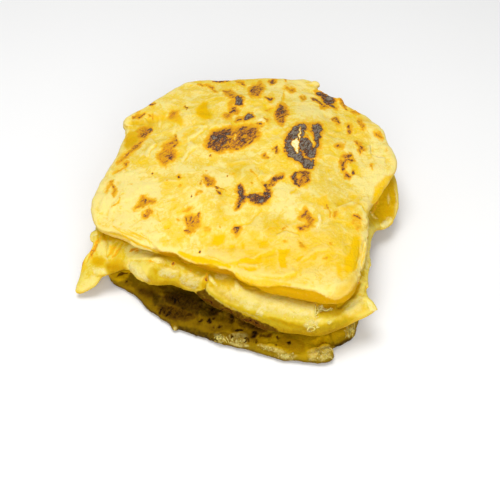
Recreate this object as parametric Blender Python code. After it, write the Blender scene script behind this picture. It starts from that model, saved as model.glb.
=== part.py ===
"""A flaky flat bread, folded so that three puffed layers lie on one another.

The layers are open at the front and right sides. Each one is a closed slab: a smooth rim through
a few outline points, a middle surface and a thickness that pass through the same points, and a
rounded edge. The upper layers rest on the lower ones with a small gap. All lengths below are in
millimetres; the meshes are in metres, +Z up, with the origin under the middle of the footprint.
"""

import math

import bpy
import numpy as np
from mathutils import Vector
from mathutils.geometry import delaunay_2d_cdt

MM = 0.001
LAYER_GAP = 0.5  # left between two layers that touch
RIM_STEP = 3.0  # distance between points along a rim
RIM_ROWS = 4  # rows of points round the edge, from the outline in to the flat of the slab
INNER_STEP = 6.0  # distance between points inside a layer
EDGE_ROUNDNESS = 1.0  # width of the rounded edge as a share of half the thickness there

# Each rim runs against the clock, seen from above, along the centre line of the rounded edge. A
# point is x, y, the height of that line, and the thickness of the edge.

TOP_RIM = (
    (-76.4, -8.5, 29.0, 6.0), (-75.3, -15.0, 28.5, 6.0), (-72.8, -22.4, 27.5, 5.0),
    (-61.7, -29.4, 27.5, 4.0), (-46.1, -37.2, 28.0, 5.0), (-30.8, -42.0, 28.5, 6.0),
    (-18.4, -49.0, 28.5, 6.0), (-5.2, -53.6, 29.0, 7.0), (10.1, -63.5, 30.0, 8.0),
    (27.2, -69.7, 31.0, 9.0), (39.3, -71.8, 31.0, 10.0), (47.0, -70.5, 31.0, 10.0),
    (51.2, -63.6, 31.0, 9.0), (54.5, -51.5, 31.0, 8.0), (57.2, -38.8, 31.0, 8.0),
    (60.8, -26.0, 31.0, 8.0), (62.0, -17.5, 31.0, 7.5), (67.2, -5.2, 30.0, 7.0),
    (76.3, 9.3, 30.0, 6.0), (82.0, 20.6, 31.0, 6.0), (81.5, 29.3, 32.0, 6.0),
    (77.9, 39.7, 32.0, 7.0), (77.0, 47.1, 33.0, 8.0), (72.5, 53.9, 33.0, 8.0),
    (64.2, 63.8, 34.0, 8.0), (54.0, 71.6, 35.0, 8.0), (44.5, 77.5, 35.5, 7.5),
    (42.2, 84.0, 36.0, 6.5), (40.0, 90.6, 36.0, 7.0), (25.6, 91.2, 36.0, 10.0),
    (-13.5, 89.7, 36.0, 10.0),
    (-29.3, 89.5, 35.5, 10.0), (-42.2, 79.3, 34.5, 10.0), (-52.3, 68.5, 34.0, 9.0),
    (-66.1, 59.8, 32.5, 6.0), (-64.3, 54.0, 32.0, 6.0), (-64.7, 41.4, 31.5, 6.0),
    (-69.1, 19.3, 30.5, 6.0), (-75.3, -1.2, 29.5, 6.0),
)
TOP_INSIDE = (
    (0.0, 10.0, 37.5, 13.0), (-40.0, 15.0, 34.5, 12.0), (40.0, 25.0, 37.0, 12.5),
    (0.0, 60.0, 38.0, 13.0), (0.0, -28.0, 35.0, 12.0), (35.0, -45.0, 33.5, 11.0),
    (-35.0, 60.0, 36.0, 12.0), (45.0, 55.0, 36.5, 12.0), (-45.0, -18.0, 32.0, 10.0),
)

MIDDLE_RIM = (
    (-73.5, -14.0, 19.5, 5.0), (-75.1, -24.5, 17.5, 4.0), (-78.2, -29.8, 14.0, 3.2),
    (-81.2, -33.6, 11.0, 3.0), (-81.6, -40.0, 7.5, 3.0), (-84.4, -46.4, 3.8, 3.0),
    (-79.2, -45.9, 5.5, 3.0), (-75.0, -44.6, 8.5, 3.0), (-71.0, -41.0, 12.0, 3.4),
    (-64.4, -39.6, 14.0, 4.0), (-57.7, -37.8, 16.0, 5.0), (-50.1, -42.6, 17.0, 8.0),
    (-43.0, -46.3, 17.0, 10.0), (-33.6, -47.3, 17.0, 10.0), (-26.8, -51.0, 17.0, 9.0),
    (-21.2, -53.6, 17.0, 7.0), (-19.6, -55.0, 17.0, 8.0), (-12.2, -61.1, 17.0, 10.0),
    (0.4, -67.8, 17.0, 11.0), (11.9, -75.0, 17.0, 11.0), (22.5, -78.1, 17.0, 11.0),
    (33.5, -79.5, 17.0, 11.0), (41.0, -79.0, 17.0, 10.0), (47.2, -76.8, 17.3, 8.0),
    (55.0, -75.0, 18.0, 5.0), (64.0, -72.2, 19.2, 2.4), (60.3, -67.5, 20.0, 3.5),
    (59.6, -61.0, 21.5, 4.0), (61.3, -47.4, 22.0, 4.0), (63.2, -33.6, 21.0, 4.5),
    (66.0, -21.0, 19.5, 4.5), (72.0, -8.0, 13.0, 4.0), (77.2, -2.4, 9.0, 4.0),
    (82.4, 2.8, 10.8, 4.0), (84.5, 12.0, 15.5, 4.0), (83.5, 24.0, 20.0, 4.5),
    (79.0, 36.0, 21.0, 7.0), (69.0, 52.0, 20.8, 10.5), (51.0, 68.0, 20.6, 12.0),
    (37.5, 80.5, 20.5, 12.0), (5.0, 83.5, 20.5, 12.5), (-27.0, 82.5, 20.5, 12.0),
    (-44.0, 71.0, 20.5, 11.5), (-59.0, 55.0, 20.5, 9.5), (-60.5, 38.0, 20.5, 9.0),
    (-66.5, 12.0, 20.0, 7.0),
)
MIDDLE_INSIDE = (
    (0.0, 10.0, 24.5, 13.0), (-40.0, 20.0, 22.5, 12.0), (40.0, 25.0, 24.5, 12.5),
    (0.0, 55.0, 24.5, 12.5), (0.0, -35.0, 21.5, 12.0), (35.0, -52.0, 20.5, 12.0),
    (-45.0, -20.0, 20.0, 9.0), (72.0, 14.0, 20.5, 6.0), (-70.0, -30.0, 16.5, 4.0),
    (-77.0, -39.0, 10.5, 3.0),
)

BOTTOM_RIM = (
    (-65.5, -15.0, 4.2, 8.0), (-68.0, -31.0, 2.6, 5.0), (-63.6, -38.5, 2.5, 5.0),
    (-57.8, -41.0, 2.5, 5.0), (-50.0, -51.0, 2.5, 5.0), (-40.8, -59.4, 2.5, 5.0),
    (-30.4, -67.0, 2.5, 5.0), (-19.1, -71.3, 2.5, 5.0), (-8.0, -76.6, 2.5, 5.0),
    (9.3, -83.1, 2.5, 5.0), (22.0, -86.6, 2.5, 5.0), (34.1, -88.0, 2.5, 5.0),
    (42.6, -87.2, 2.5, 4.6), (43.2, -81.8, 2.5, 4.6), (49.5, -76.6, 2.5, 4.6),
    (54.2, -73.6, 2.6, 4.6), (55.0, -60.0, 4.5, 8.5), (57.5, -35.0, 5.6, 11.0),
    (63.0, 5.0, 6.0, 12.0), (65.0, 35.0, 6.2, 12.4), (52.0, 60.0, 6.4, 12.8),
    (34.0, 76.0, 6.4, 12.8), (0.0, 79.0, 6.4, 12.8), (-30.0, 76.0, 6.3, 12.6),
    (-51.0, 57.0, 6.1, 12.2), (-56.0, 30.0, 5.8, 11.6), (-61.0, 5.0, 5.2, 10.0),
)
BOTTOM_INSIDE = (
    (0.0, 10.0, 7.5, 15.0), (-40.0, 15.0, 6.8, 13.6), (40.0, 20.0, 7.2, 14.4),
    (0.0, 55.0, 7.2, 14.4), (0.0, -40.0, 6.2, 12.4), (35.0, -60.0, 5.4, 10.8),
    (-45.0, -25.0, 5.4, 10.8),
)

# Broad swells and hollows in the upper face of the top layer: x, y, radius along, radius across,
# turn in degrees, height.
TOP_SWELLS = (
    (-10.0, 34.0, 16.0, 9.0, 10.0, 0.9), (28.0, 38.0, 12.0, 16.0, 0.0, 1.0),
    (12.0, 4.0, 16.0, 9.0, 5.0, 0.8), (38.0, -12.0, 10.0, 12.0, -30.0, 0.9),
    (-30.0, -10.0, 11.0, 14.0, 0.0, 0.8), (44.0, -48.0, 8.0, 16.0, 10.0, 1.2),
    (-60.0, 10.0, 9.0, 20.0, 20.0, 0.7), (-46.0, 30.0, 9.0, 13.0, -25.0, 0.7),
    (60.0, 24.0, 9.0, 15.0, -20.0, 0.9), (8.0, 66.0, 24.0, 9.0, 0.0, 0.8),
    (-12.0, 12.0, 12.0, 9.0, 0.0, -0.8), (20.0, -34.0, 18.0, 8.0, -20.0, -0.9),
    (52.0, 2.0, 10.0, 12.0, 30.0, -0.9), (-50.0, 52.0, 10.0, 7.0, -30.0, -1.0),
    (24.0, 62.0, 9.0, 8.0, 0.0, -0.7), (-48.0, -12.0, 10.0, 8.0, 20.0, -0.7),
)

CRUST_COLOR = (0.87, 0.62, 0.16, 1.0)
LAYER_ROUGHNESS = 0.55


def surface_through(points):
    """Returns the function of x and y whose thin-plate surface passes through the points."""
    places = np.array([point[:2] for point in points])
    values = np.array([point[2] for point in points])

    def kernel(distance):
        return np.where(distance > 0, distance**2 * np.log(np.maximum(distance, 1e-9)), 0.0)

    count = len(places)
    between = np.linalg.norm(places[:, None] - places[None], axis=2)
    border = np.column_stack([np.ones(count), places])
    system = np.zeros((count + 3, count + 3))
    system[:count, :count] = kernel(between)
    system[:count, count:] = border
    system[count:, :count] = border.T
    weights = np.linalg.solve(system, np.concatenate([values, np.zeros(3)]))

    def height(x, y):
        spot = np.stack([x, y], axis=-1)
        distance = np.linalg.norm(spot[..., None, :] - places, axis=-1)
        flat = weights[count] + weights[count + 1] * x + weights[count + 2] * y
        return kernel(distance) @ weights[:count] + flat

    return height


def closed_curve(corners, step):
    """Points at about the given step along a smooth closed curve through the corners."""
    corners = np.array(corners)
    count = len(corners)
    points = []
    for index in range(count):
        before, start, end, after = (corners[(index + k) % count] for k in (-1, 0, 1, 2))
        pieces = max(1, round(np.linalg.norm(end[:2] - start[:2]) / step))
        for t in np.arange(pieces) / pieces:
            pull = (end - before) / 2
            push = (after - start) / 2
            points.append(
                start * (2 * t**3 - 3 * t**2 + 1)
                + end * (3 * t**2 - 2 * t**3)
                + pull * (t**3 - 2 * t**2 + t)
                + push * (t**3 - t**2)
            )
    return np.array(points)


def ragged(points, normals, amount, seed):
    """Moves each rim point along its normal by a seeded wave made of several lengths."""
    draw = np.random.default_rng(seed)
    along = np.linspace(0.0, 2 * math.pi, len(points), endpoint=False)
    wave = sum(
        np.sin(turns * along + draw.uniform(0, 2 * math.pi)) / math.sqrt(turns / 9)
        for turns in (9, 15, 23, 31, 44)
    )
    moved = points.copy()
    moved[:, :2] += (amount * wave / 2)[:, None] * normals
    return moved


def inward_normals(points):
    """Unit vectors that point from each rim point to the inside, smoothed over its neighbours."""
    ahead = np.roll(points[:, :2], -1, axis=0)
    behind = np.roll(points[:, :2], 1, axis=0)
    along = ahead - behind
    normals = np.column_stack([-along[:, 1], along[:, 0]])
    normals /= np.linalg.norm(normals, axis=1)[:, None]
    smooth = normals + 0.5 * (np.roll(normals, 1, axis=0) + np.roll(normals, -1, axis=0))
    return smooth / np.linalg.norm(smooth, axis=1)[:, None]


def is_inside(spots, loop):
    """Says for each spot whether it lies inside the closed loop."""
    x, y = spots[:, 0, None], spots[:, 1, None]
    x1, y1 = loop[:, 0], loop[:, 1]
    x2, y2 = np.roll(x1, -1), np.roll(y1, -1)
    spans = (y1 > y) != (y2 > y)
    rise = np.where(y2 == y1, 1.0, y2 - y1)
    crosses = spans & (x < (x2 - x1) * (y - y1) / rise + x1)
    return crosses.sum(axis=1) % 2 == 1


def inner_points(loop, step):
    """A triangular grid of points inside the loop, kept clear of it."""
    low, high = loop.min(axis=0), loop.max(axis=0)
    rows = np.arange(low[1], high[1], step * math.sqrt(0.75))
    grid = [
        (x + (row % 2) * step / 2, y)
        for row, y in enumerate(rows)
        for x in np.arange(low[0], high[0], step)
    ]
    spots = np.array(grid)
    spots = spots[is_inside(spots, loop)]
    nearest = np.linalg.norm(spots[:, None] - loop[None], axis=2).min(axis=1)
    return spots[nearest > 0.6 * step]


def swell(spots, places):
    """The summed height of soft round bumps at the given places."""
    total = np.zeros(len(spots))
    for x, y, along, across, turn, height in places:
        c, s = math.cos(math.radians(turn)), math.sin(math.radians(turn))
        dx, dy = spots[:, 0] - x, spots[:, 1] - y
        u = (dx * c + dy * s) / along
        v = (dy * c - dx * s) / across
        total += height * np.exp(-(u**2 + v**2))
    return total


class Layer:
    """One slab of the bread, as functions of the place in plan."""

    def __init__(self, rim, inside, raggedness, seed, flat_base=False, swells=()):
        self.middle = surface_through([(p[0], p[1], p[2]) for p in rim + inside])
        self.thick = surface_through([(p[0], p[1], p[3]) for p in rim + inside])
        curve = closed_curve(rim, RIM_STEP)
        self.rim = ragged(curve, inward_normals(curve), raggedness, seed)
        self.flat_base = flat_base
        self.swells = swells
        self.above = None

    def faces_at(self, spots, fullness=1.0):
        """Lower and upper height at the spots. Fullness 0 is the outline, 1 the full slab."""
        x, y = spots[:, 0], spots[:, 1]
        middle, half = self.middle(x, y), self.thick(x, y) / 2
        lower = middle - half * fullness
        upper = middle + half * fullness
        if self.swells:
            upper = upper + fullness * swell(spots, self.swells)
        if self.flat_base:
            lower = middle * (1 - fullness)
        if self.above:
            roof = self.above.faces_at(spots)[0] - LAYER_GAP
            upper = np.minimum(upper, roof)
            lower = np.minimum(lower, upper - 0.3 * fullness)
        return lower, upper

    def mesh(self, name):
        normals = inward_normals(self.rim)
        width = EDGE_ROUNDNESS * self.rim[:, 3] / 2
        rows = []
        for row in range(RIM_ROWS):
            turn = 0.5 * math.pi * row / (RIM_ROWS - 1)
            plan = self.rim[:, :2] - (width * math.cos(turn))[:, None] * normals
            rows.append((plan, *self.faces_at(plan, math.sin(turn))))
        loop = rows[-1][0]
        spots = inner_points(loop, INNER_STEP)
        count = len(loop)
        edges = [(i, (i + 1) % count) for i in range(count)]
        flat = [Vector(spot) for spot in np.vstack([loop, spots])]
        plan, _, triangles, *_ = delaunay_2d_cdt(flat, edges, [], 1, 1e-6)
        inner = np.array([tuple(spot) for spot in plan[count:]])
        lower, upper = self.faces_at(inner)

        points = [(*xy, z) for xy, z in zip(rows[0][0], rows[0][1])]
        ring = {(0, 0): 0, (0, 1): 0}
        for row in range(1, RIM_ROWS):
            for side in (0, 1):
                ring[row, side] = len(points)
                points += [(*xy, z) for xy, z in zip(rows[row][0], rows[row][1 + side])]
        core = []
        for heights in (lower, upper):
            core.append(len(points))
            points += [(*xy, z) for xy, z in zip(inner, heights)]

        faces = []
        for row in range(1, RIM_ROWS):
            for i, j in edges:
                a, b = ring[row - 1, 1], ring[row, 1]
                faces += [(a + i, a + j, b + j), (a + i, b + j, b + i)]
                a, b = ring[row - 1, 0], ring[row, 0]
                faces += [(a + j, a + i, b + i), (a + j, b + i, b + j)]
        for side in (0, 1):
            first = ring[RIM_ROWS - 1, side]
            for face in triangles:
                corners = [first + k if k < count else core[side] + k - count for k in face]
                faces.append(corners if side else corners[::-1])
        mesh = bpy.data.meshes.new(name)
        mesh.from_pydata([Vector(point) * MM for point in points], [], faces)
        mesh.validate()
        return mesh


def crust_material(name, color, roughness):
    material = bpy.data.materials.new(name)
    material.use_nodes = True
    shader = material.node_tree.nodes["Principled BSDF"]
    shader.inputs["Base Color"].default_value = color
    shader.inputs["Roughness"].default_value = roughness
    shader.inputs["Metallic"].default_value = 0.0
    return material


def add_layer(name, layer, material):
    thing = bpy.data.objects.new(name, layer.mesh(name))
    bpy.context.scene.collection.objects.link(thing)
    thing.data.materials.append(material)
    thing.data.shade_smooth()
    return thing


def stand_on_origin(things):
    """Moves the meshes so that the origin is under the middle of their common box."""
    points = np.array([v.co for thing in things for v in thing.data.vertices])
    low, high = points.min(axis=0), points.max(axis=0)
    shift = Vector((-(low[0] + high[0]) / 2, -(low[1] + high[1]) / 2, -low[2]))
    for thing in things:
        for vertex in thing.data.vertices:
            vertex.co += shift


def main():
    for thing in list(bpy.data.objects):
        bpy.data.objects.remove(thing, do_unlink=True)
    top = Layer(TOP_RIM, TOP_INSIDE, 0.35, 3, swells=TOP_SWELLS)
    middle = Layer(MIDDLE_RIM, MIDDLE_INSIDE, 0.35, 5)
    bottom = Layer(BOTTOM_RIM, BOTTOM_INSIDE, 0.7, 8, flat_base=True)
    middle.above = top
    bottom.above = middle
    crust = crust_material("crust", CRUST_COLOR, LAYER_ROUGHNESS)
    stand_on_origin(
        [
            add_layer("top_layer", top, crust),
            add_layer("middle_layer", middle, crust),
            add_layer("bottom_layer", bottom, crust),
        ]
    )


main()
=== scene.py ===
"""The looks of a folded flaky flatbread: puffed dough layers, scorched blisters, floured folds.

Each layer of the frame is copied, joined with the lips and flakes that stand on it, and made into
one fine skin. The skin is then worked: creases and swells move it, and marks say where it is
toasted, amber or floured, and where shade and some light are painted on it. Creases and marks are
placed by their pixel in the photograph, seen by the scene's own camera, and lie on the surface
that the camera meets there. The numbers of pixels run x, y, x, y. Lengths are in millimetres until
a mesh is made.
"""

import math

import bmesh
import bpy
import numpy as np
from mathutils import Matrix, Vector
from mathutils.bvhtree import BVHTree


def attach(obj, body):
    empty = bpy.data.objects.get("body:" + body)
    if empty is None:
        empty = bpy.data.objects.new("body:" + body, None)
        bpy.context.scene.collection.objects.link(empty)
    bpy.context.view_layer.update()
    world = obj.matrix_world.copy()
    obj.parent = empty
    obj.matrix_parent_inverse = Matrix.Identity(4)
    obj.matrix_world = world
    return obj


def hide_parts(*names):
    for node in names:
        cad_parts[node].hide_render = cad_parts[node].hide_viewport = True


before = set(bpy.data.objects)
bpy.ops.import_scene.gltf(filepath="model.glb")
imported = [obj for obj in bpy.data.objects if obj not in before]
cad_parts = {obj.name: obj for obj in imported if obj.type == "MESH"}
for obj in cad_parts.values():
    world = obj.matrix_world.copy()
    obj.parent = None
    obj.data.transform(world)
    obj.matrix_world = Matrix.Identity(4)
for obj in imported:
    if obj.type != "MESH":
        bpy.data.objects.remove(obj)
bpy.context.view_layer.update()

MM = 0.001

# The camera that took the photograph, fitted to the scene: square frame, level horizon.
PHOTO_SIDE = 500.0
PHOTO_FOCAL = 850.0
EYE = np.array([3.89, -345.14, 325.1])
LOOK_DOWN = math.radians(44.55)
SENSOR = 36.0

FORWARD = np.array([0.0, math.cos(LOOK_DOWN), -math.sin(LOOK_DOWN)])
RIGHT = np.array([1.0, 0.0, 0.0])
UPWARD = np.cross(RIGHT, FORWARD)


def to_photo(points):
    """Where the camera sees points, in pixels of the photograph."""
    seen = points - EYE
    depth = seen @ FORWARD
    x = PHOTO_SIDE / 2 + PHOTO_FOCAL * (seen @ RIGHT) / depth
    y = PHOTO_SIDE / 2 - PHOTO_FOCAL * (seen @ UPWARD) / depth
    return x, y


def at_pixel(x, y, height):
    """The point at a height, in millimetres, that the camera sees at a pixel."""
    ray = (
        FORWARD
        + (x - PHOTO_SIDE / 2) / PHOTO_FOCAL * RIGHT
        - (y - PHOTO_SIDE / 2) / PHOTO_FOCAL * UPWARD
    )
    return EYE + ray * ((height - EYE[2]) / ray[2])


# ---------------------------------------------------------------- noise

# Large odd numbers that scatter the bits of a cell's place and of a seed.
CELL_FACTORS = np.array([73856093, 19349663, 83492791])
SEED_FACTOR = 2654435761
FIRST_FACTOR, SECOND_FACTOR = 2246822519, 3266489917
LOW_BITS = 0xFFFFFFFF


def lattice(cells, seed):
    """A steady pseudo-random number from 0 to 1 for each whole cell."""
    mixed = cells.astype(np.int64) * CELL_FACTORS
    value = (mixed[..., 0] ^ mixed[..., 1] ^ mixed[..., 2]) + seed * SEED_FACTOR
    value = (value ^ (value >> 15)) * FIRST_FACTOR & LOW_BITS
    value = (value ^ (value >> 13)) * SECOND_FACTOR & LOW_BITS
    return (value ^ (value >> 16)) / (LOW_BITS + 1.0)


def smooth_noise(points, size, seed):
    """Noise from -1 to 1 whose lumps are about the given size."""
    scaled = points / size
    cell = np.floor(scaled)
    part = scaled - cell
    part = part * part * part * (part * (part * 6 - 15) + 10)
    total = np.zeros(len(points))
    for corner in np.ndindex(2, 2, 2):
        corner = np.array(corner)
        weight = np.prod(np.where(corner, part, 1 - part), axis=1)
        total += weight * lattice(cell + corner, seed)
    return 2 * total - 1


def layered_noise(points, size, octaves, seed, fade=0.5):
    """Noise from -1 to 1 in layers, each with lumps half the size of the one before."""
    total, reach = np.zeros(len(points)), 0.0
    for octave in range(octaves):
        weight = fade**octave
        total += weight * smooth_noise(points, size / 2**octave, seed + octave)
        reach += weight
    return total / reach


def ramp(value, low, high):
    """Rises smoothly from 0 at low to 1 at high."""
    t = np.clip((value - low) / (high - low), 0, 1)
    return t * t * (3 - 2 * t)


# ---------------------------------------------------------------- marks of the photograph

# A mark is looked for within some half widths and some pixels of its corners.
MARGIN_WIDTHS, MARGIN_PIXELS = 3, 5
# It fades from inside its edge to outside it, at these shares of its softness.
FADE_INSIDE, FADE_OUTSIDE = -0.6, 0.5
# The width of a stroke at its ends, and what it gains to its middle.
STROKE_END, STROKE_GAIN = 0.55, 0.45
# Half widths in pixels over which a spot and a stroke have a warm rim.
SPOT_SPECK, STROKE_SPECK = 0.9, 0.3
# The rim fades between two distances in pixels. It has a share of the mark's level, up to a limit.
RIM_NEAR, RIM_FAR = 0.2, 3.8
RIM_SHARE, RIM_MOST = 0.5, 0.27
# The raised edge of a thin skin: the share of its way over which each end rises, the half width of
# its step in pixels, and how many times its fade it reaches.
EDGE_END, EDGE_STEP, EDGE_FADES = 0.12, 0.8, 6
# The groove at its foot: its width in pixels, and its depth as a share of the edge's height.
FOOT_WIDTH, FOOT_DEPTH = 2.5, 0.35


def pairs(numbers):
    """Pixels of the photograph from numbers that run x, y, x, y."""
    return list(zip(numbers[::2], numbers[1::2]))


class Mark:
    """A mark traced on the photograph.

    Its level says how strong it is, and soft over how many pixels it fades at its edge. Away gives
    the pixels between a place and the mark's edge, below zero inside it, and ratio the distance
    from its middle in its own radius. A big mark has a warm rim, a speck has none.
    """

    def __init__(self, level, soft, scale, corners, ratio, rim=1.0):
        self.level, self.soft, self.scale, self.ratio = level, soft, scale, ratio
        self.rim = min(max(rim, 0.0), 1.0)
        margin = MARGIN_WIDTHS * scale + soft + MARGIN_PIXELS
        self.low, self.high = np.min(corners, axis=0) - margin, np.max(corners, axis=0) + margin

    def near(self, x, y):
        across = (x > self.low[0]) & (x < self.high[0])
        return np.flatnonzero(across & (y > self.low[1]) & (y < self.high[1]))

    def away(self, x, y):
        return (self.ratio(x, y) - 1) * self.scale


def spot(level, half_width, half_height, x, y, turn=0, soft=1.6):
    """A round mark, turned clockwise by some degrees."""
    cos, sin = math.cos(math.radians(turn)), math.sin(math.radians(turn))
    reach = max(half_width, half_height)

    def ratio(px, py):
        dx, dy = px - x, py - y
        return np.hypot((dx * cos + dy * sin) / half_width, (dy * cos - dx * sin) / half_height)

    corners = ((x - reach, y - reach), (x + reach, y + reach))
    least = min(half_width, half_height)
    return Mark(level, soft, least, corners, ratio, least - SPOT_SPECK)


def stroke(level, half_width, *numbers, soft=1.4):
    """A brush stroke through some pixels, thinner at its ends."""
    line = pairs(numbers)

    def ratio(px, py):
        reach, share = line_reach(px, py, line)
        return reach / (half_width * (STROKE_END + STROKE_GAIN * np.sin(math.pi * share)))

    return Mark(level, soft, half_width, line, ratio, half_width - STROKE_SPECK)


def area(level, soft, *numbers):
    """A patch inside an outline through some pixels."""
    outline = pairs(numbers)

    def ratio(px, py):
        return 1 + outline_distance(px, py, outline)

    return Mark(level, soft, 1.0, outline, ratio)


def line_reach(x, y, line):
    """Distance in pixels to the line, and the share of the way along it."""
    line = np.array(line, float)
    best, share = np.full(len(x), 1e9), np.zeros(len(x))
    count = len(line) - 1
    for index in range(count):
        start, step = line[index], line[index + 1] - line[index]
        t = ((x - start[0]) * step[0] + (y - start[1]) * step[1]) / (step @ step)
        t = np.clip(t, 0, 1)
        reach = np.hypot(x - start[0] - t * step[0], y - start[1] - t * step[1])
        nearer = reach < best
        best = np.where(nearer, reach, best)
        share = np.where(nearer, (index + t) / count, share)
    return best, share


def outline_distance(x, y, outline):
    """Distance in pixels to a closed outline, below zero inside it."""
    reach = line_reach(x, y, (*outline, outline[0]))[0]
    inside = np.zeros(len(x), bool)
    for (ax, ay), (bx, by) in zip(outline, outline[1:] + outline[:1]):
        if ay != by:
            crossed = (ay > y) != (by > y)
            inside ^= crossed & (x < ax + (bx - ax) * (y - ay) / (by - ay))
    return np.where(inside, -reach, reach)


def painted(x, y, marks, blur=1.0):
    """How strong the marks are at each place: the strongest one counts."""
    total = np.zeros(len(x))
    for mark in marks:
        near = mark.near(x, y)
        soft = mark.soft * blur
        cover = 1 - ramp(mark.away(x[near], y[near]), FADE_INSIDE * soft, FADE_OUTSIDE * soft)
        total[near] = np.maximum(total[near], mark.level * cover)
    return total


def halo(x, y, marks):
    """The warm rim round the marks."""
    total = np.zeros(len(x))
    for mark in marks:
        near = mark.near(x, y)
        rim = 1 - ramp(mark.away(x[near], y[near]), RIM_NEAR, RIM_FAR)
        level = mark.rim * min(RIM_SHARE * mark.level, RIM_MOST)
        total[near] = np.maximum(total[near], level * rim)
    return total


def raised(x, y, marks):
    """The height in millimetres that swells (above 0) and dents or grooves (below 0) add."""
    total = np.zeros(len(x))
    for mark in marks:
        near = mark.near(x, y)
        total[near] += mark.level * np.exp(-(mark.ratio(x[near], y[near]) ** 2))
    return total


def flake_steps(x, y, edges):
    """The height that edges of thin skins add: each is raised on the left of its way.

    An edge is given as height in millimetres, how far in pixels it takes to fall back to the
    surface, and the pixels that it runs through.
    """
    total = np.zeros(len(x))
    for height, fade, *numbers in edges:
        path = np.array(pairs(numbers), float)
        reach, share = line_reach(x, y, path)
        index = np.minimum((share * (len(path) - 1)).astype(int), len(path) - 2)
        start, step = path[index], path[index + 1] - path[index]
        side = step[:, 0] * (y - start[:, 1]) - step[:, 1] * (x - start[:, 0])
        signed = np.where(side < 0, reach, -reach)
        ends = ramp(share, 0.0, EDGE_END) * ramp(1 - share, 0.0, EDGE_END)
        rise = ramp(signed, -EDGE_STEP, EDGE_STEP) * np.exp(-np.maximum(signed, 0) / fade)
        groove = np.exp(-((np.minimum(signed, 0) / FOOT_WIDTH) ** 2)) * (signed < EDGE_STEP)
        total += height * ends * (rise - FOOT_DEPTH * groove) * (reach < EDGE_FADES * fade)
    return total


# Outlines and lines that two of the tables below use.
CHAR_PATCH = (291, 139.5, 296.7, 138.7, 299, 141.5, 298, 153, 294.7, 151.7, 291.5, 145)
CHAR_LINE = (299.8, 127, 299.5, 133, 299, 140)
CHAR_CREASE = (304, 131, 309, 134, 311.5, 140, 313.5, 147)
CRESCENT_FLAKE = (319.5, 214.5, 319.5, 221, 316.8, 228.6)
LEFT_LOBE = (97, 244, 104, 240, 109, 246, 107, 256, 98, 254)
LEFT_POCKET = (92, 257, 98, 256, 105, 259, 104, 265, 97, 266.5, 92, 263)

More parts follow.
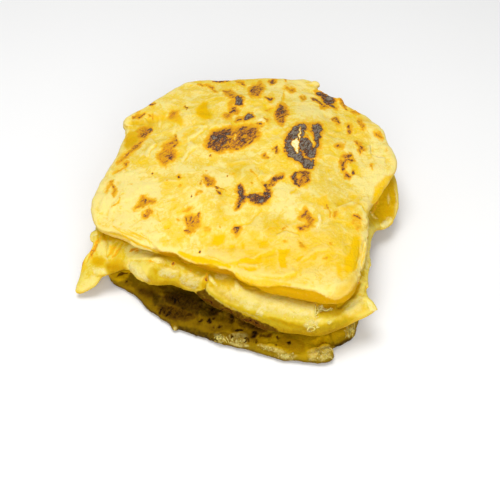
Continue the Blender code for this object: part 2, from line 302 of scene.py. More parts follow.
# Levels of toast: 0.3 is orange, 0.5 brown, 0.7 dark brown, 0.9 black and 1 grey char.
TOP_TOAST = (
    # the charred blister right of the middle, in two lobes, the warm skin round it, the ring below
    area(1.0, 1.6, 284, 149, 284.5, 141, 288, 133.5, 293, 127, 299, 124, 305, 124, 308, 127, 307, 131,
         304, 133, 303.5, 136, 308, 139, 313, 144, 317, 150, 316, 156, 313, 160, 315, 165, 313, 168,
         308, 169, 302, 166, 298.5, 161, 292, 158, 286.5, 154),
    area(1.0, 1.6, 311.5, 127, 312.5, 124.5, 317.5, 123, 322, 125, 322.5, 130, 320, 133.5,
         321.5, 137.5, 319, 141.5, 318, 148, 315.5, 148, 313, 135),
    area(0.3, 5, 283, 152, 283, 137, 291, 125, 304, 121.5, 321, 121.5, 324, 131, 322, 146, 317, 166,
         309, 171, 297, 165, 286, 157),
    area(0.44, 1.8, 293, 177, 295.5, 172, 299.5, 170, 306, 171.5, 310, 175.5, 308.5, 182, 304.5, 185,
         299.5, 186, 295, 183.5),
    stroke(0.86, 1.7, 296, 172, 293.6, 177, 295.5, 182.5, 300, 185.5),
    area(0.7, 2, 301, 171, 306, 172, 309.5, 176, 308.5, 182, 304, 184.5, 303.5, 178),
    stroke(0.78, 1.2, 301, 171.5, 308.5, 173.5, 309, 180),
    # the broad brown patch left of the middle
    area(0.42, 3.5, 205, 140, 213, 130, 222, 128, 230, 126.5, 234, 128.5, 242, 125, 252, 124.5,
         258, 127, 261, 134, 257.5, 140, 251, 144, 244.5, 147, 238, 150.5, 229, 151.5, 220, 153.5,
         211, 151, 204.5, 147),
    area(0.68, 2.5, 206, 142, 213, 132, 222, 128.5, 231, 127.5, 234, 131, 229, 138, 227, 147, 217, 152,
         208, 149),
    area(0.56, 2.5, 238, 129, 247, 125.5, 257, 127.5, 259.5, 133, 254, 138, 246, 143, 238, 146,
         236, 138),
    stroke(0.9, 1.7, 209, 140.5, 215, 137.5, 221, 135), stroke(0.74, 1.2, 217, 132, 226, 130),
    area(0.56, 2.5, 214, 147, 224, 145, 236, 146, 228, 150.5, 216, 152.5),
    stroke(0.72, 1.0, 236, 133, 241, 129, 247, 127), stroke(0.66, 0.9, 248, 129, 256, 128),
    stroke(0.7, 0.9, 237, 140, 244, 135, 251, 130.5), stroke(0.62, 0.8, 231, 141, 224, 144),
    stroke(0.66, 0.9, 239, 145.5, 247, 140, 255, 133.5), stroke(0.58, 0.9, 247, 144.5, 257, 137),
    # the grey oval at the back left, with brown skin in front of it and left of it
    area(0.97, 1.4, 235, 97, 238, 95.5, 241.5, 97, 244, 100.5, 243.5, 104.5, 240, 106.5, 236, 104,
         235, 100.5),
    area(0.38, 2, 223, 92, 226, 90.5, 232, 90, 235, 93, 236.5, 98, 233, 99.5, 224.5, 95.5),
    stroke(0.64, 0.9, 223.5, 91.5, 229, 94, 234, 97.5), stroke(0.3, 2.4, 229, 105, 234, 101),
    area(0.56, 2, 229, 108.5, 232, 106.5, 236, 107.5, 240, 110.5, 238, 113, 230, 112),
    area(0.36, 2.5, 222.5, 114, 226, 112.5, 231.5, 114, 231.5, 118, 227, 119.5, 223, 117.5),
    area(1.0, 1.2, 243, 117, 246, 115, 249.5, 112.3, 252.5, 113, 253, 116, 249, 119, 245, 120),
    stroke(0.52, 1.7, 242, 117.5, 238.5, 119.5, 236.5, 122.5),
    # blisters along the back
    area(0.55, 2, 250, 88, 253, 85, 257, 85.5, 260.5, 82.5, 261.5, 86, 264, 87, 262.5, 91, 260, 95.5,
         255.5, 97.5, 251, 95.5, 249.5, 92),
    stroke(0.45, 1.1, 237, 82.5, 241, 82.5, 245, 86), spot(0.8, 1.6, 0.9, 242.5, 84.5, 30),
    area(0.54, 1.5, 269, 81, 272, 79.5, 275.8, 80.5, 274.5, 83, 270.5, 83.4),
    area(0.46, 1.6, 284.8, 87, 288, 86, 294, 89, 294.5, 91.5, 291.5, 92.3, 288, 90, 285, 89),
    spot(0.74, 2.2, 1.2, 287.8, 87.6, 10), stroke(0.76, 1.2, 265, 97.8, 269, 99, 273.5, 98.4),
    stroke(0.42, 1.0, 303, 95.5, 300.8, 97.5, 302, 100, 304.8, 98.5, 303, 95.5),
    stroke(0.3, 0.9, 284, 92, 283, 101), stroke(0.26, 1.4, 265.4, 111, 270, 108.5, 274.5, 105.6),
    area(0.5, 2.2, 278, 105, 281, 103, 285, 106, 288, 113.5, 286, 117, 284.5, 121, 282, 125, 279, 123,
         275.5, 120, 275, 114, 276, 109),
    area(0.64, 2, 277.5, 106.5, 281, 104.5, 284.5, 108, 285, 113, 280, 115, 277, 112),
    area(0.92, 1.0, 257.5, 123, 260, 122.6, 263, 125, 261.5, 126, 258.5, 124.8),
    stroke(0.34, 1.3, 265, 118, 268.5, 120.5, 267.5, 123.5),
    stroke(0.68, 1.1, 273, 149, 276.5, 147.5, 278, 151, 275.5, 153),
    stroke(0.5, 1.2, 264.5, 152.5, 264, 156, 267.5, 158), stroke(0.5, 1.0, 198, 83.5, 204, 86),
    stroke(0.36, 1.3, 205, 84.5, 212, 88, 217, 92.5),
    stroke(0.85, 1.0, 213, 81.5, 220, 80.5, 229, 79.8), stroke(0.62, 0.8, 284, 80.4, 286, 82),
    # the charred crust at the back right and the brown rim behind it
    area(0.78, 1.6, 316, 91.3, 322, 92, 327, 94.5, 333.7, 97.8, 336.3, 101, 334, 103, 335, 106,
         337, 109, 333.7, 109, 328.5, 105, 323.3, 103, 321.4, 98.4, 316.8, 94.5),
    area(1.0, 1.2, 324, 95.5, 330, 97, 334.5, 100.5, 332, 102.5, 327, 100),
    area(0.46, 2, 320.5, 104, 326, 103.5, 328, 106, 325, 108.8, 321, 108),
    stroke(0.86, 0.9, 311.6, 99, 316, 100, 321.5, 105),
    stroke(0.48, 1.7, 340, 100, 343, 104, 346.7, 109.5), stroke(0.48, 1.3, 351, 111, 358.5, 114),
    # small blisters of the right side
    stroke(0.58, 1.2, 332, 119.5, 336, 119, 339.5, 122),
    area(0.26, 2, 334, 120, 341, 122, 341, 127, 336, 125), spot(0.7, 1.7, 2.0, 349.5, 127),
    spot(0.58, 1.6, 2.2, 348.7, 132),
    area(0.3, 2, 346.5, 124.5, 351, 125, 353, 130, 351, 135, 347, 133.5),
    area(0.36, 1.4, 358.6, 119, 361, 120, 364, 124, 365.5, 128.5, 363, 129.5, 360, 125.5),
    stroke(0.64, 0.7, 358.6, 119, 359.8, 124.5, 363, 129.5), stroke(0.5, 0.7, 361, 120, 365.5, 128.5),
    area(0.42, 2, 375, 132, 379, 133, 383, 138, 382.5, 140, 379, 138.5, 376, 135.5),
    area(0.46, 1.6, 334.4, 146, 338, 143.5, 344, 144, 342, 147.5, 337, 148),
    stroke(0.46, 1.4, 356, 142, 360, 147, 364.5, 151), stroke(0.52, 1.3, 358.5, 148, 361, 152.5),
    area(0.27, 2.4, 355, 141, 362, 143, 366.5, 150, 363, 154, 358, 151),
    area(0.64, 1.4, 341, 156, 345, 153.8, 350, 154, 352, 156.5, 348, 158.5, 343, 157.5),
    stroke(0.5, 1.4, 355, 161, 349, 160, 343, 161),
    area(0.62, 1.6, 340.5, 160, 346, 161.5, 345.5, 168, 343.5, 172, 340.8, 168),
    area(0.66, 1.6, 344.5, 174, 347, 172.8, 350.5, 176, 348.5, 178.5, 345.5, 177.5),
    spot(0.9, 1.3, 2.2, 354, 172.5, 15), stroke(0.25, 1.5, 370, 164, 373, 168.5),
    stroke(0.24, 1.1, 386, 148, 388, 153),
    # the left side: streaks along the rim and blotches
    area(0.2, 4, 168, 117, 173, 109.5, 177, 110.5, 181, 118, 184, 123, 182, 126, 170, 120),
    area(0.36, 2.6, 168, 119, 170, 113, 173, 110, 178, 111, 177, 116, 172, 120),
    stroke(0.46, 2.0, 133, 117.5, 139, 116, 144, 114), stroke(0.64, 0.8, 139, 115.5, 146, 113),
    stroke(0.48, 1.0, 148, 114, 151, 117, 153, 120.5), stroke(0.44, 0.8, 152.5, 114, 151.5, 118),
    stroke(0.64, 1.1, 150, 104.5, 155.5, 103.5), stroke(0.52, 0.9, 137, 110.7, 141, 109.3),
    area(0.46, 3, 138, 131, 144, 127, 152, 128, 150, 134, 145, 139, 139, 138),
    stroke(0.68, 1.5, 151.5, 129.5, 148.5, 132.5, 145.5, 135.5),
    area(0.42, 2.6, 116, 163, 124, 155, 131, 148, 139, 141, 144, 141, 140, 147, 132, 153, 124, 160,
         118, 163),
    stroke(0.54, 1.0, 143, 141, 137, 147, 131, 151.5, 125, 156.5),
    stroke(0.5, 0.8, 139, 143, 132, 148.5), area(0.38, 2.2, 123, 162, 127.5, 161, 127.5, 166, 124, 168),
    stroke(0.3, 1.3, 114, 173.5, 118.5, 170.5, 123, 169),
    stroke(0.33, 1.6, 114, 181, 108.5, 187, 106.5, 194),
    stroke(0.36, 1.6, 112.5, 184, 115, 190.5, 113.5, 196),
    stroke(0.28, 1.0, 120.5, 197, 118, 203, 111.5, 206.5),
    area(0.35, 2.2, 142, 195, 146.5, 197, 151.7, 199.5, 157, 200.5, 155, 204, 148, 205.5, 144, 208,
         134.2, 210.5, 133.5, 208, 137.4, 205, 138, 201),
    area(0.5, 1.8, 141, 198, 146, 198, 150, 202, 145, 203, 141, 203),
    area(0.34, 2.0, 149, 208, 154.3, 210, 153.7, 213, 149, 216, 146.5, 218.6, 143.3, 217.7, 142, 214.4,
         145.2, 212),
    spot(0.48, 2.4, 2.2, 145.5, 214.5), stroke(0.22, 0.8, 157, 208.5, 158, 217, 161, 222),
    area(0.36, 2.5, 174.7, 135.5, 178, 139, 178.6, 143, 175, 148, 178, 152, 176, 157.5, 169.5, 162.5,
         165, 166.5, 160.5, 163.5, 156.5, 157.5, 157, 153, 161.5, 149.5, 163, 143, 169.5, 140),
    stroke(0.68, 1.0, 175.5, 136, 177.5, 142, 173.5, 146.5, 171, 150),
    area(0.46, 3, 166, 151, 172, 150, 177, 153, 174, 159, 168, 161, 164, 157),
    area(0.32, 2, 181.6, 211, 188, 207.3, 193.3, 207.3, 192, 210.5, 185.5, 213, 182.3, 213),
    area(0.33, 3, 186.8, 214.4, 192, 213, 198.5, 214.4, 201.8, 221, 200, 226, 196, 230, 190.7, 234,
         184.2, 232.6, 185.5, 226, 183, 221),
    stroke(0.64, 1.1, 186, 217, 187, 223.5), stroke(0.62, 1.2, 194.5, 218, 192, 225),
    stroke(0.6, 1.6, 184.5, 231, 189.5, 230), stroke(0.52, 1.3, 200, 212.5, 196.5, 217.5),
    stroke(0.52, 1.1, 198, 220, 194.5, 226.5), spot(0.22, 5, 3, 207.5, 229, 20),
    spot(0.34, 1.4, 1, 177.5, 220.5),
    # the blotch and the thin black blister left of the crescent, and the crescent
    area(0.48, 3, 203, 176, 207, 174.5, 211, 179, 215, 181, 214, 186, 208, 186, 205, 181),
    stroke(0.88, 0.8, 201.3, 181, 199.8, 184.5), stroke(0.3, 1.7, 203, 173.5, 205.5, 178),
    stroke(0.9, 1.0, 215.4, 187, 217.5, 188.2), stroke(0.9, 1.1, 218, 191, 221, 194.3),
    stroke(0.56, 0.6, 217.5, 186.5, 221.5, 188, 225.3, 191),
    stroke(0.3, 1.3, 202, 190.8, 198, 192, 195.8, 195),
    area(0.71, 1.7, 237.7, 186, 241, 184.7, 243.5, 188.6, 244.2, 194, 247.4, 197, 244.8, 201.5,
         241, 204, 239, 208, 235, 209, 236.4, 204, 238.3, 200, 237.7, 195, 236.4, 191),
    area(0.74, 1.7, 247.4, 197, 250.7, 193.8, 257.8, 193.8, 263, 195, 265.6, 190.6, 262.4, 184.7,
         263, 182.8, 267.6, 183.4, 268.2, 188, 270.8, 192.5, 270.2, 197.7, 265.6, 202.3, 260.4, 204.5,
         254, 203.6, 250, 201),
    area(0.66, 2, 269.5, 181, 272, 177, 278.6, 174.3, 282.5, 174.6, 283.2, 177, 278.6, 179.5,
         274.7, 182.8, 270.8, 185.4),
    stroke(0.72, 1.6, 242, 195.5, 247.5, 196.8, 253, 197.5), spot(0.88, 2.6, 1.3, 280.5, 176.2, -20),
    stroke(0.62, 1.4, 269, 187, 272, 183, 276, 180), spot(0.84, 5, 2.3, 260.4, 200.8, 8),
    stroke(0.34, 1.6, 240, 202, 237.5, 206, 235.5, 209.5),
    stroke(0.3, 0.9, 250, 170, 254, 173, 257, 178, 258.5, 182), spot(0.3, 1.5, 1.5, 251.3, 183.4),
    spot(0.3, 2.1, 1.2, 233.8, 173.7, -15), spot(0.62, 0.9, 0.9, 227.3, 175.9),
    # orange marks of the front and the right corner
    area(0.4, 3.5, 305, 207.5, 309, 210, 311.6, 214.5, 314.2, 219.6, 313, 226, 307.7, 230, 301, 231.3,
         296, 228.7, 298, 225.5, 305, 224, 307, 220.3, 301, 219, 298, 217.7, 301, 214.5),
    area(0.44, 2.5, 307, 211, 311, 214, 313, 221, 310, 224, 307.5, 219, 305, 214),
    area(0.48, 2.5, 297, 228.5, 304, 226, 311, 225.5, 307, 230, 301, 231),
    stroke(0.48, 1.0, 326.5, 205, 328, 208.5), spot(0.3, 2.6, 1.1, 324.5, 209),
    stroke(0.46, 0.6, 329.4, 209, 329.6, 217),
    area(0.28, 2, 332.4, 212, 337, 210, 338, 215, 335, 219.6, 332.4, 216),
    spot(0.7, 1.0, 1.0, 335.7, 211.8), stroke(0.54, 1.1, 353.4, 216, 357, 216.5, 360.2, 219),
    area(0.22, 5, 351, 218, 362, 219, 363, 230, 358, 235, 352, 226),
    spot(0.28, 2.5, 1.6, 331, 242.5, 45), spot(0.7, 1.1, 1.1, 327.3, 258.6),
    spot(0.34, 2.8, 1.3, 326, 259), area(0.3, 2, 298, 242, 303, 242, 307.5, 247, 305, 249.5, 300, 247),
    spot(0.66, 1.3, 0.9, 300.6, 243), spot(0.32, 2.3, 1.6, 284.5, 242), spot(0.26, 1.2, 1.2, 300, 275),
    area(0.42, 2, 233, 228, 236, 226, 240, 226.5, 241.5, 229, 239, 233, 235.5, 236, 233.5, 233),
    spot(0.68, 2.4, 1.5, 237, 228.5, -10), spot(0.52, 1, 1, 220, 226.4),
    stroke(0.26, 0.9, 268, 229.5, 271, 227.8, 275.5, 229),
    stroke(0.3, 1.0, 282, 230, 285, 226.5, 289.5, 227.5),
    # fine black specks
    spot(1.0, 1.6, 1.6, 178.9, 176.5, 0, 1), spot(1.0, 1.2, 1.2, 184.5, 106.4, 0, 1),
    spot(0.9, 0.9, 0.9, 187, 107.8, 0, 1), spot(0.95, 1.1, 1.1, 199.8, 251, 0, 1),
    spot(0.95, 1.0, 1.0, 191, 196.3, 0, 1), spot(0.8, 0.9, 0.9, 152, 173.8, 0, 1),
    spot(0.75, 0.8, 0.7, 206.3, 170), spot(0.75, 0.8, 0.7, 210.4, 155.3),
    spot(0.5, 0.7, 0.7, 167, 179.5), spot(0.3, 1.4, 1.4, 180.6, 185.4),
    spot(0.28, 2.4, 0.9, 130.5, 183.2), spot(0.5, 0.8, 0.8, 168.6, 228.7),
)
# Where the toasted skin has split or flaked off.
TOP_BARE = (
    area(1.0, 1.0, *CHAR_PATCH),
    stroke(1.0, 1.3, *CHAR_LINE),
    stroke(0.62, 1.4, 298.5, 146, 302, 152, 305, 157.5, 311, 160.5, 315, 159.5),
    stroke(0.68, 1.8, *CHAR_CREASE),
    stroke(0.8, 1.0, 235.2, 133.5, 235, 140), stroke(0.4, 0.9, 231.5, 133, 236, 128.5),
    spot(0.5, 2.0, 2.6, 298.7, 177), spot(0.35, 2.5, 2.2, 304.5, 179.5),
)
# The broad tone of the skin: cream where it is dry, deeper yellow where it is thin.
TOP_CREAM = (
    area(0.9, 16, 92, 185, 104, 172, 130, 165, 160, 180, 165, 215, 140, 232, 100, 226),
    area(0.8, 14, 368, 128, 390, 140, 393, 172, 380, 196, 362, 200, 352, 180, 366, 158),
    area(0.8, 12, 262, 84, 300, 80, 318, 90, 340, 112, 330, 122, 296, 118, 284, 96),
    area(0.9, 10, 272, 176, 290, 190, 302, 200, 300, 214, 282, 218, 270, 206),
    area(0.5, 14, 186, 158, 232, 158, 236, 184, 196, 188),
    area(0.5, 8, 152, 96, 200, 86, 196, 98, 160, 108),
    area(0.9, 6, 212, 254, 226, 250, 240, 254, 238, 262, 222, 262),
    spot(1.0, 4.5, 2.6, 260.5, 120.6, 0, 2),
    area(0.5, 12, 312, 268, 334, 270, 348, 280, 338, 292, 316, 288),
    area(0.3, 8, 262, 266, 290, 272, 276, 282, 256, 276),
    area(0.6, 12, 104, 200, 150, 214, 170, 236, 150, 242, 112, 226),
    # the skin turned in under the lip at the left is painted light, as if lit, which also keeps the
    # painted shade of turned-in skin off it
    area(0.9, 2, 122, 236, 133, 242, 145, 248, 158, 252, 160, 260, 133, 254, 120, 246),
    area(1.0, 4, 360, 233, 366, 230.5, 371, 234, 369, 241, 362, 242),
    area(0.9, 3, 361, 242, 366, 242, 364, 262, 357, 277, 356, 270),
    # the white speck at 330.4, 179.5 is a painted highlight
    stroke(1.0, 1.2, *CRESCENT_FLAKE), spot(1.0, 1.0, 1.0, 330.4, 179.5),
    stroke(0.9, 1.6, 154.5, 113, 159.5, 117, 160, 127),
    stroke(0.8, 1.5, 152, 144, 152, 150, 149.5, 157),
    stroke(0.8, 1.8, 203, 130, 193, 138, 187, 152, 182, 162),
    stroke(0.9, 2, 116, 229, 128, 234, 142, 240, 152, 248),
)
# Painted shade: in hollows, on faces turned from the light and on the skin turned in under the front
# lip; it also darkens the sunk clear patches.
TOP_SHADE = (
    area(0.1, 9, 334, 288, 346, 280, 357, 268, 356, 284, 346, 296, 334, 299),
    area(0.05, 10, 298, 168, 322, 160, 346, 172, 350, 196, 330, 206, 312, 196),
    area(0.08, 8, 222, 158, 250, 160, 262, 172, 250, 182, 232, 174),
    area(0.08, 8, 244, 212, 280, 214, 296, 226, 272, 234, 250, 226),
    area(0.08, 10, 206, 206, 224, 200, 232, 214, 218, 224),
    area(0.06, 12, 316, 108, 336, 118, 340, 134, 322, 130),
    area(0.1, 6, 216, 190, 226, 192, 228, 200, 218, 202),
    area(0.14, 4, 133, 121, 154, 120, 155, 126, 140, 130, 132, 128),
    area(0.2, 4, 124, 147, 125, 137, 129, 131, 137, 130, 140, 137, 136, 143, 128, 151),
    area(0.12, 3, 204, 101.5, 208, 103, 213, 115, 211, 120, 203, 120, 195, 112),
    area(0.28, 2, 152, 250, 176.4, 253.6, 194, 263.4, 219, 268.2, 232, 271, 238, 280, 190, 272,
         150, 258),
)
TOP_AMBER = (
    # the clear amber patches behind the middle and at the left
    area(1.0, 2.2, 204, 101.5, 208, 102.5, 206.5, 107, 209, 112, 213.5, 115, 211, 119.5, 203, 119.5,
         196.5, 115, 195, 109, 199, 105.5),
    area(0.9, 2.2, 168, 117, 170, 112, 173, 109.5, 177, 110.5, 178, 114, 181, 118, 184, 123, 182, 126,
         177, 122.5, 170, 121),
    area(0.7, 4, 152, 114, 164, 114, 167, 121, 156, 122),
    area(0.4, 3, 131, 121, 143, 119, 154, 120, 155, 126, 144, 129, 132, 128),
    area(0.5, 3, 124, 147, 125, 137, 129, 131, 138, 130, 140, 138, 136, 144, 127, 152),
    area(0.6, 3, 180, 138, 184, 132, 189, 131.5, 188, 136, 182, 139.5),
    # dapples of the front
    area(1.0, 2, 276.5, 248.5, 290, 249, 290.5, 252, 286, 258, 287, 268, 280, 268, 277, 260, 279, 252),
    area(0.9, 2, 295, 260.5, 298, 256, 304, 254.5, 302, 259, 297, 262),
    spot(0.8, 3.4, 2.6, 315, 258, 0, 2.4),
    area(0.8, 2.4, 258, 249, 260, 241, 269, 239.5, 269.5, 246, 264, 250),
    area(0.8, 2, 241, 248, 241.5, 241.5, 245.5, 242, 245, 250),
    area(0.8, 2, 228, 249, 231, 245.5, 235.5, 244.5, 235, 248.5),
    area(0.9, 4, 211, 245, 214, 234, 225, 233, 226, 243, 219, 247),
    area(0.55, 3, 250, 237, 252, 230.5, 261, 230, 261, 237), spot(0.5, 4, 3, 222, 203, 0, 3),
    area(0.9, 2.4, 237, 263, 241, 257.5, 254, 258, 262, 255, 262, 262, 250, 264),
    area(0.7, 2.4, 262, 264, 265, 258, 270, 260, 268, 265),
    area(1.0, 2, 243, 267, 252, 267.5, 257, 269.5, 256, 271.5, 249, 271, 244, 268.5),
    # the amber of the right corner, and amber as painted shade in the folds beside it
    area(1.0, 6, 343, 270, 343, 258, 350, 252, 352, 234, 360, 236, 361, 252, 356, 268, 346, 276),
    area(0.45, 9, 336, 290, 348, 279, 358, 268, 356, 284, 347, 295, 334, 298),
    area(0.8, 5, 334, 262, 342, 266, 344, 280, 336, 276),
    area(0.7, 4, 318, 198, 325, 195, 331, 203, 327, 210, 318, 205),
    area(0.7, 4, 340, 206, 352, 205, 358, 199, 360, 203, 352, 210, 342, 210),
    area(0.8, 2, 289, 193, 296, 188, 297, 190, 291, 194.5),
    stroke(0.9, 1.2, 359, 243, 358.5, 254, 355.5, 264, 351.5, 272),
    stroke(0.8, 0.9, 366, 246, 364.5, 256, 361, 267),
    area(0.8, 3, 375, 186, 386, 176, 394, 174, 384, 192, 374, 206, 370, 202),
    # the warm edge of the front lip
    stroke(1.0, 0.8, 121, 235, 130, 240, 137, 243.6, 145, 247.4, 156, 251.2),
    stroke(0.9, 3.4, 180, 252, 196, 259, 214, 262, 229, 266, soft=3),
    stroke(0.7, 3.4, 236, 274, 252, 282, 268, 284, 290, 284, soft=3),
    stroke(0.8, 1.0, 114, 227.5, 122, 233, 132, 236, 142, 241),
    stroke(0.8, 1.0, 128, 230.5, 137, 234.5, 145.5, 238, 150.5, 244.5),
    area(0.42, 34, 204, 236, 260, 230, 330, 228, 352, 240, 350, 272, 300, 284, 240, 276, 210, 256),
    spot(0.7, 4, 1.6, 172, 200, -5, 2), spot(0.4, 4, 2, 216, 238, 0, 3),
)
# The lower edge of the lit skin along the front of the top layer.
FRONT_LIP = (
    96, 227, 105, 231.5, 114, 233, 120.5, 234, 129.6, 239, 137.4, 243, 145.2, 247, 159.5, 251,
    176.4, 253.6, 185.3, 260, 194, 263.4, 211, 264.8, 219, 268.2, 229, 269.5, 233, 272.5, 243.5, 280.3,
    255, 285, 268, 286.8, 276, 285, 289, 287, 302, 290, 315, 290.8, 325.5, 296,
)
# Its first five pixels, and those from the eighth on.
LIP_START, LIP_REST = FRONT_LIP[:10], FRONT_LIP[14:]
# Painted shade: under the front lip, where the skin turns in, it is painted a deep golden colour.
TOP_GOLDEN_SHADE = (
    area(0.5, 2.0, *LIP_START, 133, 250, 94, 246),
    area(1.0, 2.0, *LIP_REST, 330, 318, 300, 314, 240, 296, 158, 272),
    area(1.0, 3, 312, 294, 325, 297, 334, 299, 341, 297.5, 346, 294, 350, 298, 342, 306, 318, 312),
    area(1.0, 4, 344, 296, 350, 290, 357, 281, 364, 288, 352, 304),
)
TOP_FLOUR = (
    area(1.3, 1.0, *CHAR_PATCH),
    stroke(1.2, 1.3, *CHAR_LINE), stroke(0.9, 1.0, 235.2, 134, 235, 140),
    stroke(0.5, 1.0, 306, 158.5, 311, 160.8, 315, 159.8), spot(0.8, 3.6, 1.8, 260.5, 120, 0, 2),
    # the white speck at 330.4, 179.5 is a painted highlight
    stroke(0.9, 1.1, *CRESCENT_FLAKE), spot(0.8, 1.0, 1.0, 330.4, 179.5),
    stroke(0.5, 1.2, 371, 145, 372, 153), stroke(0.5, 1.4, 372, 154, 378, 156, 385, 158),
    stroke(0.8, 1.4, 348, 163, 350, 160, 353, 161),
)

# Dark rims of blisters that run from the middle layer's lower skin on to the bottom layer.
BLISTER_RIMS = (
    stroke(0.6, 0.9, 220, 311, 224, 308.8, 229, 309.5, 233, 314.5, 232.5, 321),
    stroke(0.56, 0.9, 200, 302, 206, 300, 212, 303, 215, 309),
    stroke(0.56, 1.0, 238, 318, 246, 320.5, 254, 321, 261, 326, 266, 331),
    area(0.34, 4, 236, 317, 250, 320, 262, 326, 268, 333, 252, 331, 238, 326),
)
MIDDLE_TOAST = BLISTER_RIMS + (
    stroke(0.4, 0.7, 105, 232.2, 112, 233, 119, 234.4),
    stroke(0.34, 1.4, 98.4, 237.5, 94.5, 249.5, 90.5, 259),
    stroke(0.44, 0.8, 96, 240, 92, 250, 88, 258), stroke(0.3, 0.9, 101, 234, 99.5, 243),
    stroke(0.34, 1.1, 121.5, 244.5, 117, 251, 113, 258),
    stroke(0.3, 0.9, 116.5, 244, 111.5, 250, 108, 256.5),
    area(0.18, 3, 109, 244, 118, 244, 114, 255, 108, 256),
    stroke(0.36, 1.1, 129.8, 251, 133, 248.5, 137, 247.8), spot(0.36, 1.6, 0.9, 136.5, 250.5),
    stroke(0.4, 0.9, 149, 261, 153, 262), stroke(0.34, 1.3, 83, 262, 81, 270),
    spot(0.4, 2.2, 1.4, 75, 294), spot(0.95, 1.2, 2.1, 172.8, 263.8, -30),
    spot(0.7, 1, 1, 190.5, 270.8), stroke(0.72, 1.0, 206.5, 274.5, 205.8, 279, 208, 281.5),
    stroke(0.3, 0.9, 316.5, 304, 316, 311), spot(0.75, 0.8, 1.4, 358, 283),
    stroke(0.36, 1.2, 382, 190, 376.5, 203, 372.5, 213),
)
MIDDLE_CREAM = (
    # the shelf under the top layer's lip at the left is painted light, as if lit, where the lip shades
    # it
    area(0.9, 5, 124, 248, 135, 244.5, 148, 249, 155, 256, 145, 260, 130, 259),
    area(0.8, 4, *LEFT_LOBE),
    area(0.8, 6, 74, 290, 84, 276, 96, 276, 100, 280, 90, 291),
    area(1.0, 7, 215, 286, 236, 285, 262, 292, 300, 300, 316, 306, 312, 322, 280, 318, 240, 306),
    area(0.5, 6, 343, 314, 350, 302, 362, 292, 370, 302, 362, 312, 348, 319),
    stroke(0.8, 1.6, 370, 206, 374, 196, 384, 186),
)
MIDDLE_SHADE = (
    # painted shade on the thin lower skin under the rim, right of the notch
    area(0.88, 1.2, 204, 288.5, 212, 296.5, 221, 303.5, 234, 309.4, 247, 316, 257, 319.5, 264, 322.8,
         272, 327.5, 281, 331.3, 290, 334, 300, 336.5, 300, 345, 264, 340, 236, 328, 218, 314,
         205, 305, 194, 295, 199, 291),
    # painted shade in the valleys between the floured folds
    area(0.22, 5, 150, 268, 160, 268, 182, 274, 206, 284, 206, 292, 176, 290, 142, 284),
    area(0.14, 5, 214, 290, 234, 297, 262, 305, 296, 312, 314, 315, 314, 322, 280, 320, 250, 312,
         228, 302),
    area(0.15, 5, 217, 290, 224, 291, 226, 297, 220, 297),
    area(0.15, 5, 230, 295, 240, 296, 242, 304, 233, 303),
    area(0.15, 3, *LEFT_POCKET),
    # painted shade on the lower side of the right half and the flap
    area(0.42, 8, 207, 290, 226, 301, 250, 311, 276, 318, 306, 324, 322, 325, 345, 318, 356, 318,
         330, 340, 300, 342, 256, 328, 214, 308),
    area(0.22, 6, 316, 306, 330, 306, 344, 308, 340, 317, 318, 320),
    area(0.25, 6, 106, 264, 118, 264, 128, 268, 128, 276, 108, 277),
)
MIDDLE_AMBER = (
    area(0.8, 3, *LEFT_POCKET),
    area(0.6, 4, 80, 262, 86, 258, 88, 268, 82, 276),
    area(0.4, 3, 340, 318, 350, 312, 366, 306, 368, 310, 352, 320),
    area(0.5, 3, 352, 282, 360, 284, 358, 294, 350, 296),
)
# Painted shade in a golden colour: under the top layer's lip, in the gaps and valleys between folds,
# and on the lower sides of the flaps.
MIDDLE_GOLDEN_SHADE = (
    area(0.7, 7, 106, 262, 116, 257.5, 127, 262, 127, 272, 110, 275, 106, 270),
    area(0.9, 3, 98, 231, 112, 230, 126, 236, 136, 241, 130, 243, 116, 241, 102, 241),
    area(1.0, 3, 154, 250, 162, 250, 178, 255, 205, 266, 222, 270, 222, 275, 206, 275, 190, 269,
         172, 262, 160, 257),
    area(0.3, 3, 128, 269, 140, 278, 150, 283, 146, 286, 132, 277),
    area(0.5, 2, 160, 264, 168, 265, 180, 270, 178, 273, 170, 268, 162, 269),
    area(0.5, 3, 216, 280, 230, 279, 234, 286, 222, 285),
    area(0.4, 4, 211, 283, 217, 286, 230, 292, 240, 302, 230, 303, 216, 295),
    # the pocket under the lip and the shadow side of the gap right of it, in golden painted shade
    area(0.9, 1.6, 239, 277, 242, 285.7, 246.5, 289.5, 253.7, 289, 258, 287, 252, 281),
    area(0.4, 3, 232, 270, 250, 281, 268, 286, 300, 295, 300, 298, 268, 291, 236, 277),
    area(0.9, 3, 316, 300, 330, 300, 352, 292, 357, 296, 346, 303, 334, 309, 318, 310),
    area(0.5, 4, 317, 306, 330, 308, 345, 306, 349, 310, 338, 316, 320, 314),
    area(0.8, 3, 352, 280, 358, 280, 360, 286, 356, 292, 350, 296),
    area(0.9, 8, 370, 190, 394, 176, 398, 200, 394, 218, 372, 222),
)
